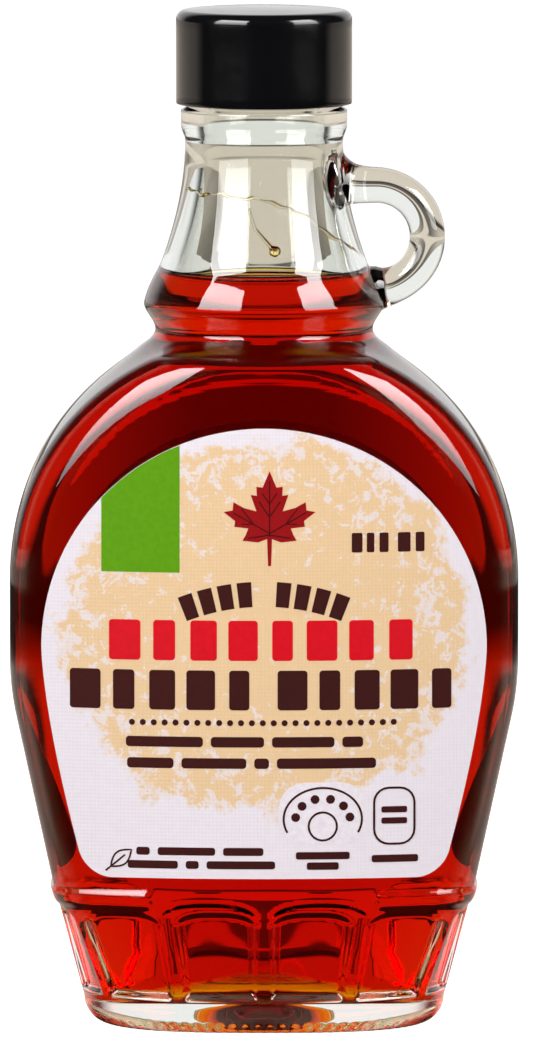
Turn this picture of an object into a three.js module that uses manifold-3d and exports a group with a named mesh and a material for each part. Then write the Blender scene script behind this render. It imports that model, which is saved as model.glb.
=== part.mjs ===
// A 250 ml glass syrup flask: round flat-sided body on a fluted foot, bell-shaped neck with a
// finger ring, screw cap, syrup up to the neck, and an arched paper label on either face.
// Millimetres, +Z up, the front label faces -Y and the finger ring is on the +X side.
// The origin is the middle of the ring that the flask stands on.
import * as THREE from "three";
import { mergeVertices } from "three/addons/utils/BufferGeometryUtils.js";
import Module from "manifold-3d";

const wasm = await Module();
wasm.setup();

// Facets, and the fineness of the curves that the facets are taken from
const HOLLOW_COLUMNS = 40;
const LABEL_COLUMNS = 12;
const LABEL_ROWS = 12;
const RING_STEPS = 24;
const RING_SIDES = 12;
const CAP_SIDES = 48;
const PUSH_UP_SHARES = [0.5, 1];
const FLOOR_SHARES = [0.33, 0.67];
const DIRECTIONS = 160;
const HALVINGS = 34;
const WIDEST = 80;
const NORMAL_STEP = 2e-3;
const MERGE = 1e-4;
const ROUNDING = 1e-6;

// Foot, from the standing ring up to the belt
const STAND_HALF_WIDTH = 25.4;
const STAND_HALF_DEPTH = 19.2;
const STAND_WIDTH = 2.6;
const PUSH_UP = 1.6;
const PUSH_UP_DOME = 3.4;
const HEEL_Z = 4.4;
const HEEL_HALF_WIDTH = 29.6;
const HEEL_HALF_DEPTH = 21.3;
const BELT_Z = 23.9;
const BELT_EDGE = 1.3;
const BELT_LOW_Z = 20.8;
const HEEL_CORNER = 3;
const PUSH_UP_SLOPE = 5;

// Arched flutes in the foot
const FLUTES = 12;
const FLUTE_DEPTH = 1.2;
const FLUTE_BOTTOM_Z = 5.4;
const FLUTE_SPRING_Z = 17.4;
const FLUTE_ARCH_RISE = 2.9;
const FLUTE_SLOPE = 1.3;
const FLUTE_SHARE = 0.87;
const FLUTE_FLOOR_SHARE = 0.78;

// Body: a thick disc with gently crowned faces and a rounded rim
const FACE_HALF_DEPTH = 23.4;
const FACE_RADIUS = 96;
const RIM_RADIUS = 5.5;
const SIDE_BULGE = 1;
const LEDGE = 0.65;
const LEDGE_GAP_HALF_WIDTH = 18.5;
const FLANK_SLOPE = 0.218;
const ARC_RADIUS = 41.75;
const LOWER_ARC_Z = 60.2;
const UPPER_ARC_Z = 73.5;
const SHOULDER_BLEND = 5.3;
const SHOULDER_Z = 98.5;
const FRONT_BLEND = 1.5;
const FRONT_BLEND_LOW_Z = 109;
const FRONT_BLEND_HIGH_Z = 112.5;
const FRONT_TURN = 5;
const SIDE_TURN = 3;

// Groove, bell, neck, bead and mouth, all round
const GROOVE_RADIUS = 17.85;
const GROOVE_Z = 114.3;
const BELL_RADIUS = 19.75;
const BELL_Z = 118.6;
const BELL_LIP = 0.35;
const BELL_LIP_HEIGHT = 6;
const BELL_POWER = 1.9;
const NECK_RADIUS = 12.95;
const NECK_Z = 145.2;
const BEAD_RADIUS = 13.65;
const BEAD_LOW_Z = 147.8;
const BEAD_HIGH_Z = 150.6;
const BEAD_TURN = 0.35;
const MOUTH_RADIUS = 12.6;
const MOUTH_Z = 164.9;

// Inside of the glass
const WALL = 3.1;
const FLOOR_Z = 5;
const FLOOR_DOME = 4.5;
const FLOOR_CORNER = 3.5;
const BORE_RADIUS = 9.9;
const BORE_Z = 142.2;
const INNER_RIM_RADIUS = 4;
const FLUTE_WALL_SHARE = 0.6;
const LEAST_STEP = 0.8;

// Finger ring
const RING_X = 18.4;
const RING_Z = 129.4;
const RING_HALF_WIDTH = 8.4;
const RING_HALF_HEIGHT = 8.4;
const RING_THICKNESS = 5.8;
const RING_DEPTH = 6.6;
const RING_TOP_ROOT_X = 11.5;
const RING_LOW_ROOT_X = 15.6;
const TOP_FLARE = 2.6;
const LOW_FLARE = 1.2;
const FLARE_LENGTH = 1.6;

// Syrup
const FILL_Z = 122.1;
const GAP = 0.3;

// Cap
const CAP_RADIUS = 14.45;
const CAP_TOP_Z = 167.0;
const CAP_BOTTOM_Z = 151.2;
const CAP_WALL = 1.3;
const CAP_TOP_WALL = 1.6;
const CAP_EDGE = 1.6;
const CAP_CROWN = 0.35;
const CAP_CHAMFER = 0.3;

// Labels
const LABEL_THICKNESS = 0.2;
const LABEL_GAP = 0.4;
const LABEL_BOTTOM_Z = 25.8;
const LABEL_SIDE_POWER = 1.45;
const LABEL_SPREAD = 2.6;
const FRONT_LABEL = { facing: -1, arcRadius: 36.45, arcZ: 63.2, footHalfWidth: 29.1 };
const BACK_LABEL = { facing: 1, arcRadius: 28.6, arcZ: 69.7, footHalfWidth: 27 };
const LABEL_CORNER = 4.2;
const LABEL_TIP_HALF_WIDTH = 1.5;

const glassLook = new THREE.MeshStandardMaterial({
  color: 0xdfe6df,
  roughness: 0.05,
  metalness: 0,
  transparent: true,
  opacity: 0.35,
});
const syrupLook = new THREE.MeshStandardMaterial({ color: 0x7a1405, roughness: 0.1, metalness: 0 });
const capLook = new THREE.MeshStandardMaterial({ color: 0x0c0c0e, roughness: 0.25, metalness: 0 });
const paperLook = new THREE.MeshStandardMaterial({ color: 0xe9e0e6, roughness: 0.7, metalness: 0 });

const clamp = (value, low, high) => Math.min(high, Math.max(low, value));
const mix = (a, b, share) => a + (b - a) * share;
const ease = (low, high, value) => {
  const share = clamp((value - low) / (high - low), 0, 1);
  return share * share * (3 - 2 * share);
};
const rise = (low, high, value) => clamp((value - low) / (high - low), 0, 1);

// A height profile through points [z, size], smooth and without overshoot
function profile(points) {
  return (z) => {
    const last = points.length - 1;
    if (z <= points[0][0]) return points[0][1];
    if (z >= points[last][0]) return points[last][1];
    const i = points.findIndex(([height]) => height > z) - 1;
    return mix(points[i][1], points[i + 1][1], ease(points[i][0], points[i + 1][0], z));
  };
}

// Radius of the bell, neck, bead and mouth, above the groove
function neckRadius(z) {
  if (z < BELL_Z) return mix(GROOVE_RADIUS, BELL_RADIUS, ease(GROOVE_Z, BELL_Z, z));
  if (z < NECK_Z) {
    const fall = 1 - rise(BELL_Z, NECK_Z, z);
    const lip = BELL_LIP * Math.sin(Math.PI * rise(BELL_Z, BELL_Z + BELL_LIP_HEIGHT, z));
    return NECK_RADIUS + (BELL_RADIUS - NECK_RADIUS) * Math.pow(fall, BELL_POWER) + lip;
  }
  return profile([
    [NECK_Z, NECK_RADIUS],
    [BEAD_LOW_Z, BEAD_RADIUS],
    [BEAD_HIGH_Z - BEAD_TURN, BEAD_RADIUS],
    [BEAD_HIGH_Z + BEAD_TURN, MOUTH_RADIUS],
  ])(z);
}

// Distance in from the outline of the disc, seen from the front
function rimDistance(x, z) {
  const angle = Math.atan(FLANK_SLOPE);
  const down = Math.max(0, LOWER_ARC_Z - z);
  const up = Math.max(0, z - UPPER_ARC_Z);
  if (down > x * Math.tan(angle)) return ARC_RADIUS - x * Math.cos(angle) - down * Math.sin(angle);
  return ARC_RADIUS - Math.hypot(x, up + down);
}

// Half-depth of the disc at x from its middle, for a distance in from its rim
function discDepth(x, distance, inset, rim) {
  const turn = 1 - clamp(distance / rim, 0, 1);
  const bow = FACE_RADIUS - Math.sqrt(FACE_RADIUS ** 2 - Math.min(x, WIDEST) ** 2);
  return FACE_HALF_DEPTH - bow - inset - rim * (1 - Math.sqrt(1 - turn * turn));
}

// How far a form reaches from the axis, in directions from the front round to the side
function reach(inside) {
  return Array.from({ length: DIRECTIONS + 1 }, (_, i) => {
    const angle = (i / DIRECTIONS) * (Math.PI / 2);
    let low = 0;
    let high = WIDEST;
    for (let k = 0; k < HALVINGS; k++) {
      const middle = (low + high) / 2;
      if (inside(middle * Math.sin(angle), middle * Math.cos(angle))) low = middle;
      else high = middle;
    }
    return low;
  });
}

function discReach(z, inset, rim) {
  return reach((x, y) => {
    const distance = rimDistance(x, z) - inset - SIDE_BULGE * (y / FACE_HALF_DEPTH) ** 2;
    return distance > 0 && y < discDepth(x, distance, inset, rim);
  });
}

function ovalReach(width, depth, corner) {
  return reach((x, y) => x < width && y < depth * Math.sqrt(1 - Math.pow(x / width, corner)));
}

const roundReach = (radius) => new Array(DIRECTIONS + 1).fill(radius);
const grown = (distances, by) => distances.map((distance) => distance + by);
const mixReach = (a, b, share) => a.map((distance, i) => mix(distance, b[i], share));

// The body above the belt: the disc runs into the round neck
function bodyReach(z, inset = 0, rim = RIM_RADIUS) {
  if (z > GROOVE_Z) return roundReach(neckRadius(z) - inset);
  const neck = GROOVE_RADIUS - inset;
  const sideFillet = SHOULDER_BLEND * ease(UPPER_ARC_Z, SHOULDER_Z, z);
  const frontFillet = FRONT_BLEND * ease(FRONT_BLEND_LOW_Z, FRONT_BLEND_HIGH_Z, z);
  return discReach(z, inset, rim).map((disc, i) => {
    const side = Math.sin((i / DIRECTIONS) * (Math.PI / 2)) ** 2;
    const fillet = mix(frontFillet, sideFillet, side);
    const joined = (disc + neck + Math.hypot(disc - neck, fillet)) / 2;
    return mix(joined, neck, ease(GROOVE_Z - mix(FRONT_TURN, SIDE_TURN, side), GROOVE_Z, z));
  });
}

// The foot: straight from the heel to the belt, with a rounded heel over the standing ring
function footReach(z, inset = 0, rim = RIM_RADIUS) {
  const heel = ovalReach(HEEL_HALF_WIDTH - inset, HEEL_HALF_DEPTH - inset, HEEL_CORNER);
  if (z >= HEEL_Z) return mixReach(heel, bodyReach(BELT_Z, inset, rim), rise(HEEL_Z, BELT_Z, z));
  const stand = ovalReach(STAND_HALF_WIDTH - inset, STAND_HALF_DEPTH - inset, HEEL_CORNER);
  return mixReach(stand, heel, Math.sqrt(1 - (1 - z / HEEL_Z) ** 2));
}

// Points of a section at shares of one turn, from the front middle by the +X side
function outline(distances, shares) {
  const fine = distances.map((distance, i) => {
    const angle = (i / DIRECTIONS) * (Math.PI / 2);
    return new THREE.Vector2(distance * Math.sin(angle), distance * Math.cos(angle));
  });
  const along = [0];
  for (let i = 1; i <= DIRECTIONS; i++) along.push(along[i - 1] + fine[i].distanceTo(fine[i - 1]));
  const at = (share) => {
    const want = share * along[DIRECTIONS];
    let i = along.findIndex((length) => length >= want);
    i = Math.max(1, i < 0 ? DIRECTIONS : i);
    const part = (want - along[i - 1]) / (along[i] - along[i - 1]);
    return fine[i - 1].clone().lerp(fine[i], part);
  };
  // Each quarter mirrors the first
  return shares.map((turn) => {
    const quarters = Math.floor(turn * 4 + ROUNDING);
    const quarter = quarters % 4;
    const share = turn * 4 - quarters;
    const point = at(quarter % 2 ? 1 - share : share);
    const side = quarter < 2 ? 1 : -1;
    const front = quarter === 0 || quarter === 3 ? -1 : 1;
    return new THREE.Vector2(side * point.x, front * point.y);
  });
}

const evenShares = (count) => Array.from({ length: count }, (_, i) => i / count);

// A closed skin over rings of points, made by reshaping a lathe's rings; first and last ring are points
function skin(rings) {
  const columns = rings[1].length;
  const rows = rings.length;
  const line = rings.map((_, j) => new THREE.Vector2(j === 0 || j === rows - 1 ? 0 : 1, j));
  const geometry = new THREE.LatheGeometry(line, columns);
  const position = geometry.attributes.position;
  for (let i = 0; i <= columns; i++) {
    for (let j = 0; j < rows; j++) {
      const ring = rings[j];
      const point = ring[i % ring.length];
      position.setXYZ(i * rows + j, point.x, point.y, point.z);
    }
  }
  return geometry;
}

function solidOf(geometry) {
  const bare = geometry.clone();
  bare.deleteAttribute("normal");
  bare.deleteAttribute("uv");
  const merged = mergeVertices(bare, MERGE);
  const vertProperties = merged.attributes.position.array;
  const triVerts = new Uint32Array(merged.index.array);
  return new wasm.Manifold(new wasm.Mesh({ numProp: 3, vertProperties, triVerts }));
}

function geometryOf(solid) {
  const mesh = solid.getMesh();
  const geometry = new THREE.BufferGeometry();
  geometry.setAttribute("position", new THREE.BufferAttribute(mesh.vertProperties, 3));
  geometry.setIndex(new THREE.BufferAttribute(mesh.triVerts, 1));
  geometry.computeVertexNormals();
  return geometry;
}

function ringAt(distances, z, shares) {
  return outline(distances, shares).map((point) => new THREE.Vector3(point.x, point.y, z));
}

const centre = (z) => [new THREE.Vector3(0, 0, z)];

// Height of a smooth dome, as a share of its rise, at a share of the way out from its middle
const dome = (share) => (1 + Math.cos(Math.PI * share)) / 2;

// Columns round the glass: at each flute its two edges, its floor's edges and three on the floor
function glassShares() {
  const edge = FLUTE_SHARE / 2;
  const floor = FLUTE_FLOOR_SHARE / 2;
  const parts = [-edge, -floor, -floor / 2, 0, floor / 2, floor, edge];
  const shares = [];
  for (let i = 0; i < FLUTES; i++) {
    for (const part of parts) shares.push((i + 0.5 + part) / FLUTES);
  }
  return shares;
}

// Place across a flute, -1 to 1 over its whole pitch
const acrossFlute = (share) => ((share * FLUTES) % 1) * 2 - 1;

// Height of the arch over a flute
function archZ(share) {
  const across = clamp(Math.abs(acrossFlute(share)) / FLUTE_SHARE, 0, 1);
  return FLUTE_SPRING_Z + FLUTE_ARCH_RISE * Math.sqrt(1 - Math.pow(across, 3));
}

// Sections of the foot by height, each worked out once
const footReaches = new Map();
function footReachAt(z) {
  if (!footReaches.has(z)) footReaches.set(z, footReach(z));
  return footReaches.get(z);
}

// One ring of the foot: its height may follow the arches, and its flute floors may be sunk
function footRing(shares, heightAt, sunk, proud) {
  return shares.map((share) => {
    const z = heightAt(share);
    const spots = [share, share + NORMAL_STEP, share - NORMAL_STEP];
    const [point, next, last] = outline(footReachAt(z), spots);
    const normal = new THREE.Vector2(next.y - last.y, last.x - next.x).normalize();
    const onFloor = Math.abs(acrossFlute(share)) < FLUTE_FLOOR_SHARE + ROUNDING;
    const onBelt = Math.abs(point.x) > LEDGE_GAP_HALF_WIDTH;
    const step = (onBelt ? proud : 0) - (sunk && onFloor ? FLUTE_DEPTH : 0);
    return new THREE.Vector3(point.x + normal.x * step, point.y + normal.y * step, z);
  });
}

// The outside of the glass, from the push-up under the foot to the mouth
function glassSolid() {
  const shares = glassShares();
  const stand = footReach(0);
  const pushUp = grown(stand, -STAND_WIDTH - PUSH_UP_SLOPE);
  const rings = [centre(PUSH_UP + PUSH_UP_DOME)];
  for (const share of PUSH_UP_SHARES) {
    const ring = pushUp.map((distance) => distance * share);
    rings.push(ringAt(ring, PUSH_UP + PUSH_UP_DOME * dome(share), shares));
  }
  rings.push(ringAt(grown(stand, -STAND_WIDTH), 0, shares));
  const foot = (heightAt, sunk, proud) => rings.push(footRing(shares, heightAt, sunk, proud));
  const middleZ = (FLUTE_BOTTOM_Z + FLUTE_SPRING_Z) / 2;
  for (const z of [0, 0.25 * HEEL_Z, 0.6 * HEEL_Z, HEEL_Z]) foot(() => z, false, 0);
  foot(() => FLUTE_BOTTOM_Z, false, 0);
  foot(() => FLUTE_BOTTOM_Z + FLUTE_SLOPE, true, 0);
  foot(() => middleZ, true, 0);
  foot((share) => archZ(share) - FLUTE_SLOPE, true, 0);
  foot(archZ, false, 0);
  foot(() => BELT_LOW_Z, false, LEDGE);
  foot(() => BELT_Z - BELT_EDGE, false, LEDGE);
  const heights = [BELT_Z, 37, 51.5, 64, 76, 82.5, 88.5, 93.5, 97.5, 101, 104, 106.6];
  heights.push(108.8, 110.4, 111.6, 112.8, GROOVE_Z, 116, 117.4, BELL_Z, 120.5, 124, 128.5, 135, NECK_Z);
  heights.push(BEAD_LOW_Z, BEAD_HIGH_Z - BEAD_TURN, BEAD_HIGH_Z + BEAD_TURN, MOUTH_Z);
  for (const z of heights) rings.push(ringAt(bodyReach(z), z, shares));
  rings.push(centre(MOUTH_Z));
  return solidOf(skin(rings));
}

// The space inside the glass, less a clearance, from the floor to a top height
function hollowSolid(clearance, topZ, columns) {
  const shares = evenShares(columns);
  const wall = WALL + clearance;
  const bore = BORE_RADIUS - clearance;
  const inner = (z) => {
    if (z > BORE_Z) return roundReach(bore);
    const sunk = wall + FLUTE_DEPTH * FLUTE_WALL_SHARE;
    if (z < BELT_Z) return footReach(Math.max(z, HEEL_Z), sunk, INNER_RIM_RADIUS);
    return bodyReach(z, wall, INNER_RIM_RADIUS).map((distance) => Math.max(distance, bore));
  };
  const floor = FLOOR_Z + clearance;
  const flat = grown(inner(floor), -FLOOR_CORNER);
  const rings = [centre(floor + FLOOR_DOME)];
  for (const share of FLOOR_SHARES) {
    const ring = flat.map((distance) => distance * share);
    rings.push(ringAt(ring, floor + FLOOR_DOME * dome(share), shares));
  }
  for (const turn of [0, 30, 60, 90]) {
    const angle = THREE.MathUtils.degToRad(turn);
    const z = floor + FLOOR_CORNER * (1 - Math.cos(angle));
    rings.push(ringAt(grown(inner(z), FLOOR_CORNER * (Math.sin(angle) - 1)), z, shares));
  }
  const heights = [18, 24, 50, 63, 76, 85, 92, 98, 103, 107, 110.3, 113.4];
  heights.push(116.4, 120, 125, 132, 141, 145);
  for (const z of heights) {
    if (z < topZ - LEAST_STEP) rings.push(ringAt(inner(z), z, shares));
  }
  rings.push(ringAt(inner(topZ), topZ, shares));
  rings.push(centre(topZ));
  return solidOf(skin(rings));
}

// The finger ring: a loop, open to the neck, that flares where it leaves the glass
function ringSolid() {
  const low = RING_Z - RING_HALF_HEIGHT;
  const high = RING_Z + RING_HALF_HEIGHT;
  const quarter = Math.PI / 2;
  const path = new THREE.Path();
  path.moveTo(RING_LOW_ROOT_X, low);
  path.lineTo(RING_X, low);
  path.absellipse(RING_X, RING_Z, RING_HALF_WIDTH, RING_HALF_HEIGHT, -quarter, quarter);
  path.lineTo(RING_TOP_ROOT_X, high);
  const tube = new THREE.CylinderGeometry(1, 1, 1, RING_SIDES, RING_STEPS);
  const position = tube.attributes.position;
  for (let i = 0; i < position.count; i++) {
    const along = position.getY(i) + 0.5;
    const middle = path.getPointAt(along);
    const tangent = path.getTangentAt(along);
    const atTop = middle.y > RING_Z;
    const root = atTop ? NECK_RADIUS : BELL_RADIUS - LOW_FLARE;
    const flare = Math.exp(-Math.max(0, middle.x - root) / FLARE_LENGTH);
    const outward = position.getX(i) > 0;
    const swell = flare * (outward ? (atTop ? TOP_FLARE : LOW_FLARE) : LOW_FLARE / 2);
    const across = position.getX(i) * (RING_THICKNESS / 2 + swell);
    const deep = position.getZ(i) * (RING_DEPTH / 2 + flare * LOW_FLARE);
    position.setXYZ(i, middle.x + tangent.y * across, -deep, middle.y - tangent.x * across);
  }
  return solidOf(tube);
}

function capSolid() {
  const inner = CAP_RADIUS - CAP_WALL;
  const ceiling = CAP_TOP_Z - CAP_TOP_WALL;
  const points = [
    [0, ceiling],
    [inner, ceiling],
    [inner, CAP_BOTTOM_Z],
    [CAP_RADIUS - CAP_CHAMFER, CAP_BOTTOM_Z],
    [CAP_RADIUS, CAP_BOTTOM_Z + CAP_CHAMFER],
  ].map(([r, z]) => new THREE.Vector2(r, z));
  for (const turn of [0, 22, 45, 67, 90]) {
    const angle = THREE.MathUtils.degToRad(turn);
    const r = CAP_RADIUS - CAP_EDGE + CAP_EDGE * Math.cos(angle);
    const drop = CAP_CROWN + CAP_EDGE * (1 - Math.sin(angle));
    points.push(new THREE.Vector2(r, CAP_TOP_Z - drop));
  }
  points.push(new THREE.Vector2(CAP_RADIUS / 2, CAP_TOP_Z - CAP_CROWN / 4));
  points.push(new THREE.Vector2(0, CAP_TOP_Z));
  const geometry = new THREE.LatheGeometry(points, CAP_SIDES);
  geometry.rotateX(Math.PI / 2);
  return solidOf(geometry);
}

// Half-width of a label by height: an arch that narrows towards its foot
function labelHalfWidth(shape, z) {
  const up = z - shape.arcZ;
  let half = Math.sqrt(Math.max(0, shape.arcRadius ** 2 - up * up));
  if (up < 0) {
    const drop = -up / (shape.arcZ - LABEL_BOTTOM_Z);
    half = mix(shape.arcRadius, shape.footHalfWidth, Math.pow(drop, LABEL_SIDE_POWER));
  }
  const corner = clamp((z - LABEL_BOTTOM_Z) / LABEL_CORNER, 0, 1);
  half -= LABEL_CORNER * (1 - Math.sqrt(1 - (1 - corner) ** 2));
  return Math.max(half, LABEL_TIP_HALF_WIDTH);
}

// A paper label bent over one face of the body, its columns closer towards its sides
function labelSolid(shape) {
  const box = new THREE.BoxGeometry(2, 1, 1, LABEL_COLUMNS, 1, LABEL_ROWS);
  const position = box.attributes.position;
  const span = shape.arcZ + shape.arcRadius - LABEL_BOTTOM_Z;
  for (let i = 0; i < position.count; i++) {
    const turn = Math.PI / LABEL_SPREAD;
    const across = Math.sin(position.getX(i) * turn) / Math.sin(turn);
    const up = position.getZ(i) + 0.5;
    const z = LABEL_BOTTOM_Z + (span * (1 - Math.cos(Math.PI * up))) / 2;
    const x = across * labelHalfWidth(shape, z);
    const stand = LABEL_GAP + (position.getY(i) * shape.facing > 0 ? LABEL_THICKNESS : 0);
    const flat = discDepth(Math.abs(x), RIM_RADIUS, 0, RIM_RADIUS);
    const bulge = SIDE_BULGE * (flat / FACE_HALF_DEPTH) ** 2;
    const depth = discDepth(Math.abs(x), rimDistance(Math.abs(x), z) - bulge, 0, RIM_RADIUS);
    position.setXYZ(i, x, shape.facing * (depth + stand), z);
  }
  return solidOf(box);
}

function node(name, solid, look) {
  const mesh = new THREE.Mesh(geometryOf(solid), look);
  mesh.name = name;
  return mesh;
}

const outer = glassSolid().add(ringSolid());
const glass = outer.subtract(hollowSolid(0, MOUTH_Z + 1, HOLLOW_COLUMNS));

const bottle = new THREE.Group();
bottle.add(node("glass_bottle", glass, glassLook));
bottle.add(node("syrup", hollowSolid(GAP, FILL_Z, HOLLOW_COLUMNS), syrupLook));
bottle.add(node("cap", capSolid(), capLook));
bottle.add(node("front_label", labelSolid(FRONT_LABEL), paperLook));
bottle.add(node("back_label", labelSolid(BACK_LABEL), paperLook));

export default bottle;
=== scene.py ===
"""A 250 ml glass syrup flask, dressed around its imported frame.

Shapes are worked out in millimetres, in the frame of the part: +Z up, the front label faces -Y and the
finger ring is on the +X side. Meshes are made in metres.
"""
import math
import bmesh
import bpy
import numpy as np
from bpy.props import FloatProperty, FloatVectorProperty, PointerProperty
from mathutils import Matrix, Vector


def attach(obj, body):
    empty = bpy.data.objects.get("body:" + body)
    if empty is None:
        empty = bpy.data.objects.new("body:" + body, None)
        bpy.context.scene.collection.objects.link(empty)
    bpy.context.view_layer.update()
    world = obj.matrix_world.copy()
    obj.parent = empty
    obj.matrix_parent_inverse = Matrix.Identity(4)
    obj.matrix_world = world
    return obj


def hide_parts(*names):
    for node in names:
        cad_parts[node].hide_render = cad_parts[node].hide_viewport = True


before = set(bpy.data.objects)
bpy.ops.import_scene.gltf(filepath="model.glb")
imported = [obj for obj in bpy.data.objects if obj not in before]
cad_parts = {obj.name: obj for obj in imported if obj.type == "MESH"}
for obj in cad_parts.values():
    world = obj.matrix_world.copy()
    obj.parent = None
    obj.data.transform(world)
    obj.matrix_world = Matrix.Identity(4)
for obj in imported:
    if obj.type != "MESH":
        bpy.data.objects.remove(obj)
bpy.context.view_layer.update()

bl_info = {
    "name": "Glass syrup flask",
    "version": (1, 0, 0),
    "blender": (4, 5, 0),
    "location": "3D View > Sidebar > Flask",
    "description": "Builds a flat-sided glass syrup flask with its syrup, cap, labels and studio",
    "category": "Add Mesh",
}

BODY = "root"
MM = 0.001

# Foot, from the standing ring up to the belt
STAND_HALF_WIDTH = 25.4
STAND_HALF_DEPTH = 19.2
STAND_WIDTH = 2.6
PUSH_UP = 1.6
PUSH_UP_DOME = 3.4
HEEL_Z = 4.4
HEEL_HALF_WIDTH = 29.6
HEEL_HALF_DEPTH = 21.3
BELT_Z = 23.9
BELT_EDGE = 1.3
BELT_LOW_Z = 20.8
HEEL_CORNER = 3
KNURLS = 80
KNURL_DEPTH = 0.35
KNURL_HEIGHT = 1.7
KNURL_FADE = 0.6
PUSH_UP_SLOPE = 5
STAND_MIDDLE = 0.6

# Arched flutes in the foot
FLUTES = 12
FLUTE_DEPTH = 1.2
FLUTE_BOTTOM_Z = 5.4
FLUTE_SPRING_Z = 17.4
FLUTE_ARCH_RISE = 2.9
FLUTE_SHARE = 0.87
FLUTE_BEVEL = 1.3
FLUTE_WALL_SHARE = 0.6
FLUTE_WALL_FADE = 12
FLUTE_LOOK_AHEAD = 2e-3

# Body: a thick disc with gently crowned faces
FACE_HALF_DEPTH = 23.4
FACE_RADIUS = 96
FACE_REACH = 60
RIM_RADIUS = 5.5
SIDE_BULGE = 1
LEDGE = 0.65
LEDGE_GAP_HALF_WIDTH = 18.5
FLANK_SLOPE = 0.218
ARC_RADIUS = 41.75
LOWER_ARC_Z = 60.2
UPPER_ARC_Z = 73.5
SHOULDER_BLEND = 5.3
SHOULDER_Z = 98.5
FRONT_BLEND = 1.5
FRONT_BLEND_LOW_Z = 109
FRONT_BLEND_HIGH_Z = 112.5
FRONT_TURN = 5
SIDE_TURN = 3

# Groove, bell, neck, bead and mouth, all round
GROOVE_RADIUS = 17.85
GROOVE_Z = 114.3
BELL_RADIUS = 19.75
BELL_Z = 118.6
BELL_LIP = 0.35
BELL_LIP_HEIGHT = 6
BELL_POWER = 1.9
NECK_RADIUS = 12.95
NECK_Z = 145.2
BEAD_RADIUS = 13.65
BEAD_LOW_Z = 147.8
BEAD_HIGH_Z = 150.6
BEAD_TURN = (-0.4, 0.3)
MOUTH_RADIUS = 12.6
MOUTH_Z = 164.9
MOUTH_EDGE = 0.8

# Inside of the glass
WALL = 3.1
FLOOR_Z = 5.0
FLOOR_DOME = 4.5
FLOOR_CORNER = 3.5
BORE_RADIUS = 9.9
INNER_RIM_RADIUS = 4
BORE_DROP = 3
BORE_FIRST_DROP = 3.5
INNER_START_Z = 12

# Finger ring
RING_X = 18.4
RING_Z = 129.4
RING_HALF_WIDTH = 8.4
RING_HALF_HEIGHT = 8.4
RING_THICKNESS = 5.8
RING_DEPTH = 6.6
RING_TOP_ROOT_X = 12.4
RING_LOW_ROOT_X = 17.3
TOP_FLARE = 2.6
LOW_FLARE = 1.2
FLARE_LENGTH = 1.6

# Cap
CAP_RADIUS = 14.45
CAP_TOP_Z = 167.0
CAP_BOTTOM_Z = 151.2
CAP_WALL = 1.3
CAP_TOP_WALL = 1.6
CAP_EDGE = 1.6
CAP_CROWN = 0.35
CAP_COLUMNS = 192

# Labels
# A label's shape is the radius of its arch, the height of the arch's middle and the half-width of its foot
FRONT_SHAPE = (36.45, 63.2, 29.1)
BACK_SHAPE = (28.6, 69.7, 27.0)
LABEL_BOTTOM_Z = 25.8
LABEL_SIDE_POWER = 1.45
LABEL_CORNER = 4.2
LABEL_TIP_HALF_WIDTH = 1.5
LABEL_GAP = 0.03
LABEL_SPREAD = 2.6
LABEL_COLUMNS = 72
LABEL_ROWS = 88

# Print of the front label: places are across from its middle line, and up from the table
INK_STEP = 1.2
FIELD_MIDDLE_Z = 66.5
FIELD_HALF_WIDTH = 33
FIELD_HALF_HEIGHT = 31
FIELD_RAGGED = 0.3
FIELD_SOFTNESS = 0.03
CORNER_BOX = (-26.6, -13.8, 76, 96.8)
PRINT_MARGIN = 0.06
LEAF_MIDDLE = (0.9, 85.2)
LEAF_SIZE = 13.4
VEIN_SHARE = 0.25
SHORT_ROWS = ((14.1, 3, 79.3, 3.2, 2.2), (21.6, 2, 79.3, 3.2, 2.6))
ARCHED_RADIUS = 38
ARCHED_TOP_Z = 74.6
ARCHED_HEIGHT = 4.1
ARCHED_BRICKS = 9
ARCHED_GAP = 4
ARCHED_HALF_TURN = 22.5
ARCHED_MARGIN = 0.14
BRICK_WIDTHS = (0.66, 0.14, 2.4)
RED_ROW = (-26, 8, 61.6, 6.6, 6.45)
BROWN_ROWS = ((-32.4, 5, 53.5, 6.5, 6.3), (1.6, 5, 53.5, 6.5, 6.1))
DOT_COUNT = 25
DOT_RADIUS = 0.5
DOT_ROW = (-21.6, 21.2, 51.4)
BAR_HEIGHT = 1.7
BAR_GAP = 1.3
UPPER_BARS = ((-22.6, 47.4, (12.6, 8.7, 10.2, 3.4)), (-22.4, 43.9, (7.6, 10.6, 2.4, 16.2)))
LOWER_BARS = ((-20.9, 29.6, (2.2, 9.4, 6.6)), (-22.3, 27.4, (8.2, 2.1, 11.2)))
LOWER_BAR_HEIGHT = 1.3
BADGE = (9.6, 35.6, 6.4)
BADGE_RING = 0.35
BADGE_FIELD = (7.2, 31.4, 41.6, 4.2)
PILL = (18.0, 24.6, 31.4, 40.6)
SMALL_BARS = ((5.2, 14.0, 29.0), (7.0, 12.2, 27.3), (17.6, 25.2, 28.4))
SPRIG = (-23.4, 29.0, 4.4)

# What the syrup left in the neck when the flask was tipped: places round the wall are degrees from the front
TIDE_Z = ((-84, 136.9), (-20, 136.5), (16, 135.2), (42, 131.8), (66, 128.0), (88, 125.6))
TIDE_RADIUS = 0.24
RUN_Z = ((-12, 134.6), (-7, 131.4), (0, 129.6), (9, 127.2))
RUN_RADIUS = 0.34
TIDE_STEPS = 160
RUN_STEPS = 60
DROP_RADIUS = 0.95
BUBBLES = 14
BUBBLE_TURN = (40, 84)

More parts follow.
